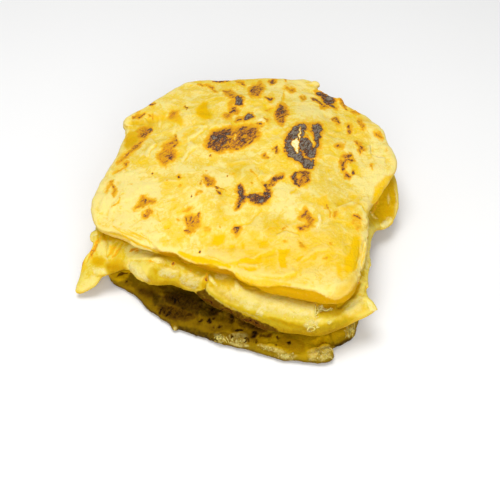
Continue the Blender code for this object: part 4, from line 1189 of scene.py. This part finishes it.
BOTTOM_RELIEF = (
    spot(0.9, 5, 4, 163, 294), spot(0.9, 5, 4, 176, 299), spot(1.0, 11, 6, 190, 301, 15),
    stroke(-1.0, 2.0, 171, 297, 175, 304), spot(0.9, 6, 4, 186, 314, 20), spot(1.0, 8, 4, 226, 312, 25),
    spot(0.8, 5, 4, 256, 331), spot(-1.0, 6, 2.4, 206, 307, 20), spot(1.0, 4, 3, 219, 338),
    spot(1.1, 7, 4.4, 240, 341, 10), spot(0.8, 10, 3, 270, 348, 8),
    stroke(-1.0, 2.5, 322, 336, 317, 350), stroke(-0.8, 1.8, 231, 308, 232, 322),
    stroke(-0.7, 1.6, 222, 310, 221, 318), spot(0.8, 8, 4, 246, 325, 20), spot(0.8, 12, 5, 290, 341, 8),
    spot(-0.8, 5, 2, 300, 352), stroke(-0.7, 1.6, 150, 288, 158, 303),
    stroke(-0.6, 1.6, 196, 311, 200, 325), spot(0.8, 8, 4, 338, 333, -20),
    spot(0.6, 6, 4, 122, 278, 30), stroke(-0.8, 1.5, 330, 330, 334, 342), spot(0.7, 8, 4, 206, 322, 20),
    spot(0.6, 8, 3, 176, 316, 25),
)


# How high in millimetres the dough of a layer swells, wrinkles, flakes and is grained.
TOP_DOUGH = (1.0, 0.6, 0.22, 0.08)
MIDDLE_DOUGH = (0.7, 0.5, 0.25, 0.1)
BOTTOM_DOUGH = (0.5, 0.6, 0.5, 0.25)
# The size in millimetres of swells, ridges, wrinkles, flakes and grain.
SWELL_SIZE, RIDGE_SIZE, WRINKLE_SIZE, FLAKE_SIZE, GRAIN_SIZE = 24.0, 13.0, 6.5, 26.0, 2.2
# Ridges are this much closer together from front to back.
RIDGE_STRETCH = (1.0, 1.5, 1.0)
# The shares of ridges and of fine wrinkles in what a layer wrinkles.
RIDGE_SHARE, WRINKLE_SHARE = 0.6, 0.7
# How far and over what size, in millimetres, wrinkles wander.
BEND, BEND_SIZE = 3.0, 15.0
# The contours of a slow noise that flakes follow, and how sharply they rise and fall back there.
FLAKE_LEVELS = (-0.35, -0.05, 0.25)
FLAKE_RISE, FLAKE_FALL = 0.012, 0.06
# Flakes come in patches: where another noise, this share of their size, rises through these levels.
PATCH_SIZE, PATCH_FROM, PATCH_FULL = 0.8, -0.1, 0.5
# What a millimetre that the skin stands out of its narrow and its broad surroundings counts for in the
# fold value, and over how many rounds of evening each of them is found. The fold value is painted
# light and shade: ridges creamier as a highlight, creases deeper yellow as shade.
NARROW_FOLD_SHADING, NARROW_ROUNDS = 1.6, 5
BROAD_FOLD_SHADING, BROAD_ROUNDS = 0.35, 60
# How far a skin has to face the camera for its marks to be shaped and painted in full.
SHAPED_FACING, PAINTED_FACING = 0.25, 0.15
# Noise that shifts marks, as pairs of its size in millimetres and its amount in pixels.
RELIEF_SHIFT = ((9.0, 1.6), (3.0, 0.8))
TOAST_SHIFT = ((5.0, 1.1), (2.2, 1.1), (1.1, 1.1))
COLOR_SHIFT = ((6.0, 1.6), (2.0, 1.0))
FLOUR_SHIFT = ((5.0, 0.8), (1.8, 0.7))
# The least and the largest radius in millimetres and strength of a spot on a hidden side, and how
# far and over what size its outline wanders.
HIDDEN_RADIUS = (2.0, 7.5)
HIDDEN_STRENGTH = (0.4, 0.85)
HIDDEN_BEND, HIDDEN_BEND_SIZE = 1.4, 4.0
# Such a spot fades between these shares of its radius. Its middle faces away from the camera by
# more than the first number, and it fades out between the other two.
HIDDEN_FADE = (0.6, 1.4)
HIDDEN_MIDDLE, HIDDEN_FULL, HIDDEN_END = -0.05, -0.15, 0.1
# Toast is broken up by noise of this size, until it is char, and so are its rims.
BROKEN_SIZE, BROKEN_TOAST, BROKEN_RIMS = 2.6, 0.45, 0.6
CHAR_FROM, CHAR_FULL = 0.85, 0.97
TOAST_BLUR = 1.5
# How strongly the skin is painted with golden shade where it turns under, as its normal's upward part
# falls from the second number to the first, how much of that cream takes away, and how strongly it is
# painted so under another layer.
GOLDEN_SHADE_UNDER, UNDER_SLOPES = 0.6, (-0.1, 0.8)
CREAM_CLEARS, GOLDEN_SHADE_COVERED = 0.8, 0.7


def skin_edges(points, size, seed):
    """Edges of thin skins all over: low steps along the contours of a slow noise."""
    slow = layered_noise(points, size, 3, seed)
    where = ramp(smooth_noise(points, size * PATCH_SIZE, seed + 5), PATCH_FROM, PATCH_FULL)
    total = np.zeros(len(points))
    for level in FLAKE_LEVELS:
        above = slow - level
        total += ramp(above, -FLAKE_RISE, FLAKE_RISE) * np.exp(-np.maximum(above, 0) / FLAKE_FALL)
    return total * where


def sculpt(skin, open_air, relief, edges, amounts, seed):
    """Works the skin: folds and dents of the photograph, and swells, wrinkles and grain of dough.

    Each noise adds its own number to the layer's seed, so that no two of them are alike.
    """
    points = skin.points
    swell, wrinkle, flake, grain = amounts
    wander = [smooth_noise(points, BEND_SIZE, seed + k) for k in (60, 61, 62)]
    bent = points + BEND * np.stack(wander, axis=1)
    ridges = 1 - 2 * np.abs(layered_noise(bent * RIDGE_STRETCH, RIDGE_SIZE, 2, seed + 20))
    dough = swell * layered_noise(points, SWELL_SIZE, 2, seed + 10)
    fine = layered_noise(bent, WRINKLE_SIZE, 2, seed + 30)
    dough += wrinkle * (RIDGE_SHARE * ridges + WRINKLE_SHARE * fine)
    dough += flake * skin_edges(bent, FLAKE_SIZE, seed + 80)
    dough += grain * layered_noise(points, GRAIN_SIZE, 2, seed + 40)
    seen = ramp(skin.facing, 0.0, SHAPED_FACING)
    x, y = skin.warped(RELIEF_SHIFT, seed)
    shaped = raised(x, y, relief) + flake_steps(x, y, edges)
    skin.move((dough + shaped * seen) * open_air)
    # The fold value written here is painted light and shade: ridges creamier as a highlight, creases
    # deeper yellow as shade.
    narrow, broad = skin.standing_out(NARROW_ROUNDS), skin.standing_out(BROAD_ROUNDS)
    skin.write("fold", np.clip(0.5 + NARROW_FOLD_SHADING * narrow + BROAD_FOLD_SHADING * broad, 0, 1))


def hidden_marks(skin, count, seed):
    """Toasted spots for the sides that the photograph doesn't show."""
    draw = np.random.default_rng(seed)
    hidden = np.flatnonzero(skin.facing < HIDDEN_MIDDLE)
    total = np.zeros(len(skin.points))
    wander = [layered_noise(skin.points, HIDDEN_BEND_SIZE, 2, seed + k) for k in range(3)]
    shifted = skin.points + HIDDEN_BEND * np.stack(wander, axis=1)
    for centre in draw.choice(hidden, count):
        radius = draw.uniform(*HIDDEN_RADIUS)
        strength = draw.uniform(*HIDDEN_STRENGTH)
        reach = np.linalg.norm(shifted - skin.points[centre], axis=1) / radius
        total = np.maximum(total, strength * (1 - ramp(reach, *HIDDEN_FADE)))
    return total * (1 - ramp(skin.facing, HIDDEN_FULL, HIDDEN_END))


def paint(skin, cover, marks, rims, hidden_count, seed):
    """Writes where the skin is toasted, creamy, amber and floured, and where shade is painted on it.

    Painted shade darkens it where the tables say. It is painted golden, as shade, where the skin turns
    under and where another layer lies close above, and there it gets no flour.
    """
    toast, bare, cream, painted_shade, amber, golden_shade, flour = marks
    seen = ramp(skin.facing, 0.0, PAINTED_FACING)
    x, y = skin.warped(TOAST_SHIFT, seed)
    broken = layered_noise(skin.points, BROKEN_SIZE, 3, seed + 70, 0.8)
    toasted = painted(x, y, toast, TOAST_BLUR)
    charred = ramp(toasted, CHAR_FROM, CHAR_FULL)
    toasted = toasted * (1 + BROKEN_TOAST * broken * (1 - charred))
    toasted = np.maximum(toasted, rims * halo(x, y, toast) * (1 + BROKEN_RIMS * broken))
    toasted = np.clip(toasted, 0, 1) * (1 - np.clip(painted(x, y, bare), 0, 1)) * seen
    skin.write("toast", np.maximum(toasted, hidden_marks(skin, hidden_count, seed)))
    x, y = skin.warped(COLOR_SHIFT, seed + 7)
    creamy = painted(x, y, cream) * seen
    skin.write("cream", creamy)
    skin.write("painted_shade", painted(x, y, painted_shade) * seen)
    skin.write("amber", painted(x, y, amber) * seen)
    x, y = skin.warped(FLOUR_SHIFT, seed + 9)
    # Flour is left off where another layer lies close above, so that the painted shade there stays
    # golden.
    skin.write("flour", painted(x, y, flour) * seen * (1 - cover))
    # Painted shade: skin that turns under is painted golden, less so where it is painted creamy.
    turned_under_shade = GOLDEN_SHADE_UNDER * (1 - ramp(skin.normals[:, 2], *UNDER_SLOPES))
    turned_under_shade = turned_under_shade * (1 - CREAM_CLEARS * np.clip(creamy, 0, 1))
    golden = np.maximum(painted(x, y, golden_shade) * seen, turned_under_shade)
    # Skin close under another layer is painted golden too, as its shade.
    skin.write("golden_shade", np.clip(np.maximum(golden, GOLDEN_SHADE_COVERED * cover), 0, 1))


# ---------------------------------------------------------------- materials


class Nodes:
    """Short ways to add and join shader nodes."""

    def __init__(self, name):
        self.material = bpy.data.materials.new(name)
        self.material.use_nodes = True
        self.tree = self.material.node_tree
        self.shader = self.tree.nodes["Principled BSDF"]

    def add(self, kind, inputs, **settings):
        """A new node with some settings. An input is given a value, or the output that feeds it."""
        node = self.tree.nodes.new("ShaderNode" + kind)
        for name, value in settings.items():
            setattr(node, name, value)
        self.feed(node, inputs)
        return node

    def feed(self, node, inputs):
        for key, value in inputs.items():
            if isinstance(value, bpy.types.NodeSocket):
                self.tree.links.new(value, node.inputs[key])
            else:
                node.inputs[key].default_value = value

    def attribute(self, name):
        return self.add("Attribute", {}, attribute_name=name).outputs["Fac"]

    def place(self):
        """The place on the object, in millimetres."""
        where = self.add("TexCoord", {}).outputs["Object"]
        return self.add("VectorMath", {0: where, "Scale": 1 / MM}, operation="SCALE").outputs[0]

    def drawn_out(self, where, turn, stretch):
        """The place, drawn out along a way turned by some degrees."""
        turned = {"Vector": where, "Rotation": (0, 0, math.radians(turn)), "Scale": (stretch, 1, 1)}
        return self.add("Mapping", turned, vector_type="TEXTURE").outputs[0]

    def noise(self, where, size, detail=2.0, rough=0.5, distortion=0.0):
        looks = {"Detail": detail, "Roughness": rough, "Distortion": distortion}
        return self.add("TexNoise", {"Vector": where, "Scale": 1 / size, **looks}).outputs["Fac"]

    def math(self, operation, a, b=0.0, clamp=False):
        return self.add("Math", {0: a, 1: b}, operation=operation, use_clamp=clamp).outputs[0]

    def plus(self, a, b):
        return self.math("ADD", a, b)

    def times(self, a, b, clamp=False):
        return self.math("MULTIPLY", a, b, clamp)

    def spread(self, value, low, high, to_low=0.0, to_high=1.0):
        """The value, taken smoothly from low and high to two other ends."""
        ends = {"From Min": low, "From Max": high, "To Min": to_low, "To Max": to_high}
        node = self.add("MapRange", {"Value": value, **ends}, interpolation_type="SMOOTHSTEP")
        return node.outputs["Result"]

    def mix(self, share, a, b, way="MIX"):
        """Two colours mixed by a share. Sockets 6, 7 and 2 are the ones for colours."""
        looks = {0: share, 6: a, 7: b}
        return self.add("Mix", looks, data_type="RGBA", blend_type=way).outputs[2]

    def ramp(self, value, stops):
        node = self.add("ValToRGB", {0: value})
        ladder = node.color_ramp.elements
        while len(ladder) < len(stops):
            ladder.new(0.5)
        for step, (place, color) in zip(ladder, stops):
            step.position = place
            step.color = color
        return node.outputs[0]


def rgb(red, green, blue):
    return (red, green, blue, 1.0)


# Each palette: deep yellow, butter yellow, cream, the golden colour of painted shade, amber, flour,
# and the painted shade that darkens them.
YELLOW = (
    rgb(0.83, 0.540, 0.010),
    rgb(0.83, 0.592, 0.074),
    rgb(0.86, 0.710, 0.235),
    rgb(0.59, 0.312, 0.0005),
    rgb(0.86, 0.520, 0.002),
    rgb(0.89, 0.80, 0.43),
    rgb(0.24, 0.17, 0.10),
)
# The middle layer's palette: like the top's, but darker as painted shade.
YELLOW_IN_SHADE = (
    rgb(0.69, 0.435, 0.003),
    rgb(0.71, 0.495, 0.020),
    rgb(0.77, 0.620, 0.115),
    rgb(0.63, 0.365, 0.001),
    rgb(0.78, 0.480, 0.002),
    rgb(0.81, 0.695, 0.270),
    rgb(0.15, 0.105, 0.05),
)
# The bottom layer's palette: darkened throughout as painted shade. Its amber is the dough's lit colour,
# which painted light puts back where the layer is lit.
SHADED = (
    rgb(0.190, 0.108, 0.001),
    rgb(0.240, 0.140, 0.001),
    rgb(0.32, 0.200, 0.003),
    rgb(0.10, 0.055, 0.001),
    rgb(0.60, 0.365, 0.001),
    rgb(0.62, 0.505, 0.150),
    rgb(0.10, 0.09, 0.06),
)
# What painted shade takes from a colour before it darkens it.
DEEPENING = rgb(1.0, 0.90, 0.15)
# The grey at the top of the ramp is ash on the char, with a painted sheen.
TOAST = (
    (0.05, rgb(0.88, 0.60, 0.015)),
    (0.26, rgb(0.84, 0.42, 0.015)),
    (0.40, rgb(0.76, 0.31, 0.015)),
    (0.51, rgb(0.57, 0.215, 0.040)),
    (0.62, rgb(0.33, 0.130, 0.055)),
    (0.73, rgb(0.12, 0.050, 0.030)),
    (0.85, rgb(0.060, 0.034, 0.024)),
    (0.93, rgb(0.130, 0.100, 0.074)),
    (1.00, rgb(0.310, 0.255, 0.190)),
)
# The bottom layer's toast, darkened like its palette as painted shade.
SHADED_TOAST = (
    (0.18, rgb(0.190, 0.095, 0.001)),
    (0.34, rgb(0.150, 0.066, 0.001)),
    (0.50, rgb(0.090, 0.036, 0.001)),
    (0.66, rgb(0.048, 0.018, 0.001)),
    (0.82, rgb(0.020, 0.009, 0.002)),
    (1.00, rgb(0.014, 0.009, 0.006)),
)


# Noise of the dough and of its toast: size in millimetres, detail, roughness and distortion.
BROAD = (11.0, 4.0, 0.55, 1.0)
VEIN = (3.4, 4.0, 0.62, 1.6)
GRAIN = (0.8, 3.0, 0.65)
STREAK = (7.0, 3.0, 0.5, 2.0)
POWDER = (2.6, 6.0, 0.72, 0.3)
FINE_TOAST = (1.2, 5.0, 0.8, 1.2)
DRAWN_TOAST = (1.5, 3.0, 0.6, 0.8)
# The way that streaks of toast run, in degrees, and how far they are drawn out.
TOAST_WAY, TOAST_STRETCH = 48, 2.6


def dough(name, colors, toast_stops):
    """Pan-fried dough: mottled yellow, with toast, amber and flour where the skin says so."""
    deep, butter, cream, golden_shade, amber, flour, shade = colors
    n = Nodes(name)
    where = n.place()
    vein, grain = n.noise(where, *VEIN), n.noise(where, *GRAIN)
    mottle = n.plus(n.times(n.noise(where, *BROAD), 0.55), n.times(vein, 0.45))
    mottle = n.plus(mottle, n.times(n.attribute("cream"), 0.12))
    uneven = n.plus(n.times(vein, 1.3), 0.5)
    base = n.mix(n.spread(mottle, 0.49, 0.37), butter, deep)
    base = n.mix(n.spread(mottle, 0.48, 0.60), base, cream)
    streak = n.math("ABSOLUTE", n.math("SUBTRACT", n.noise(where, *STREAK), 0.5))
    base = n.mix(n.spread(streak, 0.022, 0.0, 0.0, 0.25), base, cream)
    # Painted light and shade: ridges are painted creamier as a highlight, creases deeper yellow as
    # shade.
    fold = n.attribute("fold")
    base = n.mix(n.spread(fold, 0.54, 0.9, 0.0, 0.85), base, cream)
    base = n.mix(n.spread(fold, 0.46, 0.12, 0.0, 0.7), base, deep)
    # Painted shade in a golden colour, where the skin turns under and where it lies under another
    # layer.
    base = n.mix(n.times(n.attribute("golden_shade"), uneven, True), base, golden_shade)
    base = n.mix(n.times(n.attribute("amber"), uneven, True), base, amber)
    # Painted shade: it first takes blue and some green from the colour, then the palette's shade
    # darkens it (at Base Color below).
    shade_share = n.times(n.attribute("painted_shade"), uneven, True)
    base = n.mix(n.spread(shade_share, 0.0, 0.3), base, DEEPENING, "MULTIPLY")
    specks = n.spread(grain, 0.34, 0.62, 0.6, 1.1)
    drifts = n.spread(n.noise(where, *POWDER), 0.40, 0.55, 0.22, 1.2)
    floured = n.attribute("flour")
    base = n.mix(n.times(floured, n.times(specks, drifts), True), base, flour)
    toast = n.attribute("toast")
    streaks = n.noise(n.drawn_out(where, TOAST_WAY, TOAST_STRETCH), *DRAWN_TOAST)
    rough = n.math("SUBTRACT", n.plus(n.noise(where, *FINE_TOAST), streaks), 1.0)
    worn = n.times(n.times(rough, 1.9), n.spread(toast, 0.10, 0.55, 0.15, 1.0))
    level = n.math("MAXIMUM", n.plus(toast, worn), n.math("MINIMUM", toast, 0.25))
    color = n.mix(n.spread(level, 0.03, 0.24), base, n.ramp(level, toast_stops))
    veins = n.times(vein, n.spread(floured, 0.0, 0.6, 0.9, 0.25))
    relief = n.plus(n.plus(veins, n.times(grain, 0.3)), n.times(worn, 1.2))
    bump = n.add("Bump", {"Strength": 0.9, "Distance": 0.7 * MM, "Height": relief})
    looks = {
        # the base colour, darkened by the painted shade
        "Base Color": n.mix(shade_share, color, shade, "MULTIPLY"),
        "Roughness": n.plus(n.spread(level, 0.3, 0.9, 0.46, 0.66), n.times(grain, 0.12)),
        "Subsurface Weight": 0.2,
        "Subsurface Radius": (1.0, 0.45, 0.03),
        "Subsurface Scale": 0.002,
        "Specular IOR Level": 0.03,
        "Normal": bump.outputs["Normal"],
    }
    n.feed(n.shader, looks)
    return n.material


def floor_material():
    """A pale matt floor with broad, faint clouds."""
    n = Nodes("pale_floor")
    clouds = n.noise(n.place(), 300.0)
    tone = n.mix(clouds, rgb(0.90, 0.90, 0.90), rgb(0.92, 0.92, 0.92))
    n.feed(n.shader, {"Base Color": tone, "Roughness": 0.7})
    return n.material


# ---------------------------------------------------------------- stage

FLOOR_SIDE = 6.0
# The point that the lights aim at, in metres like their places and sizes.
LIT_POINT = Vector((0, 0, 0.02))
STUDIO_GLOW = 0.34


def add_floor():
    bpy.ops.mesh.primitive_plane_add(size=FLOOR_SIDE, location=(0, 0, 0))
    floor = bpy.context.object
    floor.name = "floor"
    floor.data.materials.append(floor_material())


def add_light(name, place, size, power, color):
    data = bpy.data.lights.new(name, "AREA")
    data.shape = "DISK"
    data.size = size
    data.energy = power
    data.color = color
    light = added(name, data)
    light.location = place
    light.rotation_euler = (LIT_POINT - light.location).to_track_quat("-Z", "Y").to_euler()


def add_world():
    world = bpy.data.worlds.new("studio")
    bpy.context.scene.world = world
    world.use_nodes = True
    back = world.node_tree.nodes["Background"]
    back.inputs["Color"].default_value = rgb(1.0, 1.0, 1.0)
    back.inputs["Strength"].default_value = STUDIO_GLOW


def add_camera():
    data = bpy.data.cameras.new("camera")
    data.sensor_width = SENSOR
    data.lens = SENSOR * PHOTO_FOCAL / PHOTO_SIDE
    data.clip_start = 0.01
    data.clip_end = 20.0
    camera = added("camera", data)
    turned = Matrix((RIGHT, UPWARD, -FORWARD)).transposed().to_4x4()
    camera.matrix_world = Matrix.Translation(Vector(EYE) * MM) @ turned
    bpy.context.scene.camera = camera


# ---------------------------------------------------------------- making it

# How floury and creamy the loose bits are; their fold value paints them a little lighter, as a
# highlight.
BIT_LOOKS = (("flour", 0.8), ("fold", 0.6), ("cream", 0.6))


def finish_piece(thing, material):
    """Gives a piece its material and slot, and lets it ride on the bread's body."""
    thing.data.materials.clear()
    thing.data.materials.append(material)
    thing.data.shade_smooth()
    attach(thing, "root")


def dress(
    name, node, material, strips, relief, edges, amounts, marks, above, below,
    voxel, under, rims, hidden, seed,
):
    """Makes a layer's fine skin, which takes the place of its node.

    Above and below are the nodes that it lies against, voxel is the size of its faces in
    millimetres and under the share of them that its underside keeps. Rims says how strong the warm
    rims of its toast are, and hidden how many spots its hidden side has.
    """
    surface = Surface(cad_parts[node])
    thing = fine_skin(name, node, strands(surface, strips), voxel, under)
    skin = Skin(thing)
    sculpt(skin, free_way(skin, above + below), relief, edges, amounts, seed)
    paint(skin, covered(skin, above), marks, rims, hidden, seed)
    finish_piece(thing, material)
    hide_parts(node)
    return thing


def torn_bits(name, carrier, material, rows, sprays, seed):
    """Fibres and crumbs on the torn edges of a layer's skin, all floured."""
    surface = Surface(carrier)
    shape = bmesh.new()
    add_pieces(shape, strands(surface, rows) + crumbs(surface, sprays, seed))
    mesh = bpy.data.meshes.new(name)
    write_shape(shape, mesh)
    for attribute, value in BIT_LOOKS:
        layer = mesh.attributes.new(attribute, "FLOAT", "POINT")
        layer.data.foreach_set("value", [value] * len(mesh.vertices))
    finish_piece(added(name, mesh), material)


def main():
    browned = dough("browned_top", YELLOW, TOAST)
    floured = dough("floured_middle", YELLOW_IN_SHADE, TOAST)
    shaded = dough("shaded_bottom", SHADED, SHADED_TOAST)
    # Marks are given in the order toast, bare, cream, painted shade, amber, golden painted shade,
    # flour.
    dress(
        "top_skin", "top_layer", browned,
        strips=TOP_STRANDS, relief=TOP_RELIEF, edges=TOP_EDGES, amounts=TOP_DOUGH,
        marks=(TOP_TOAST, TOP_BARE, TOP_CREAM, TOP_SHADE, TOP_AMBER, TOP_GOLDEN_SHADE, TOP_FLOUR),
        above=[], below=["middle_layer"],
        voxel=0.58, under=0.12, rims=1.0, hidden=26, seed=3,
    )
    middle = dress(
        "middle_skin", "middle_layer", floured,
        strips=MIDDLE_STRANDS, relief=MIDDLE_RELIEF, edges=MIDDLE_EDGES, amounts=MIDDLE_DOUGH,
        marks=(MIDDLE_TOAST, (), MIDDLE_CREAM, MIDDLE_SHADE, MIDDLE_AMBER, MIDDLE_GOLDEN_SHADE, MIDDLE_FLOUR),
        above=["top_layer"], below=["bottom_layer"],
        voxel=0.60, under=0.2, rims=0.4, hidden=16, seed=4,
    )
    bottom = dress(
        "bottom_skin", "bottom_layer", shaded,
        strips=BOTTOM_STRANDS, relief=BOTTOM_RELIEF, edges=BOTTOM_EDGES, amounts=BOTTOM_DOUGH,
        marks=(BOTTOM_TOAST, (), BOTTOM_CREAM, BOTTOM_SHADE, BOTTOM_LIT_AMBER, (), BOTTOM_FLOUR),
        above=["middle_layer"], below=[],
        voxel=0.60, under=0.2, rims=0.4, hidden=30, seed=5,
    )
    torn_bits("middle_crumbs", middle, floured, MIDDLE_FIBRES, MIDDLE_CRUMBS, 6)
    torn_bits("bottom_crumbs", bottom, shaded, BOTTOM_FIBRES, BOTTOM_CRUMBS, 7)
    add_floor()
    add_light("key", place=(-0.12, 0.03, 0.96), size=0.60, power=5.6, color=(1.0, 1.0, 0.99))
    add_light("fill", place=(0.06, -0.9, 0.5), size=0.9, power=7.2, color=(1.0, 1.0, 1.0))
    add_world()
    add_camera()
    bpy.context.scene.view_settings.view_transform = "Standard"


main()
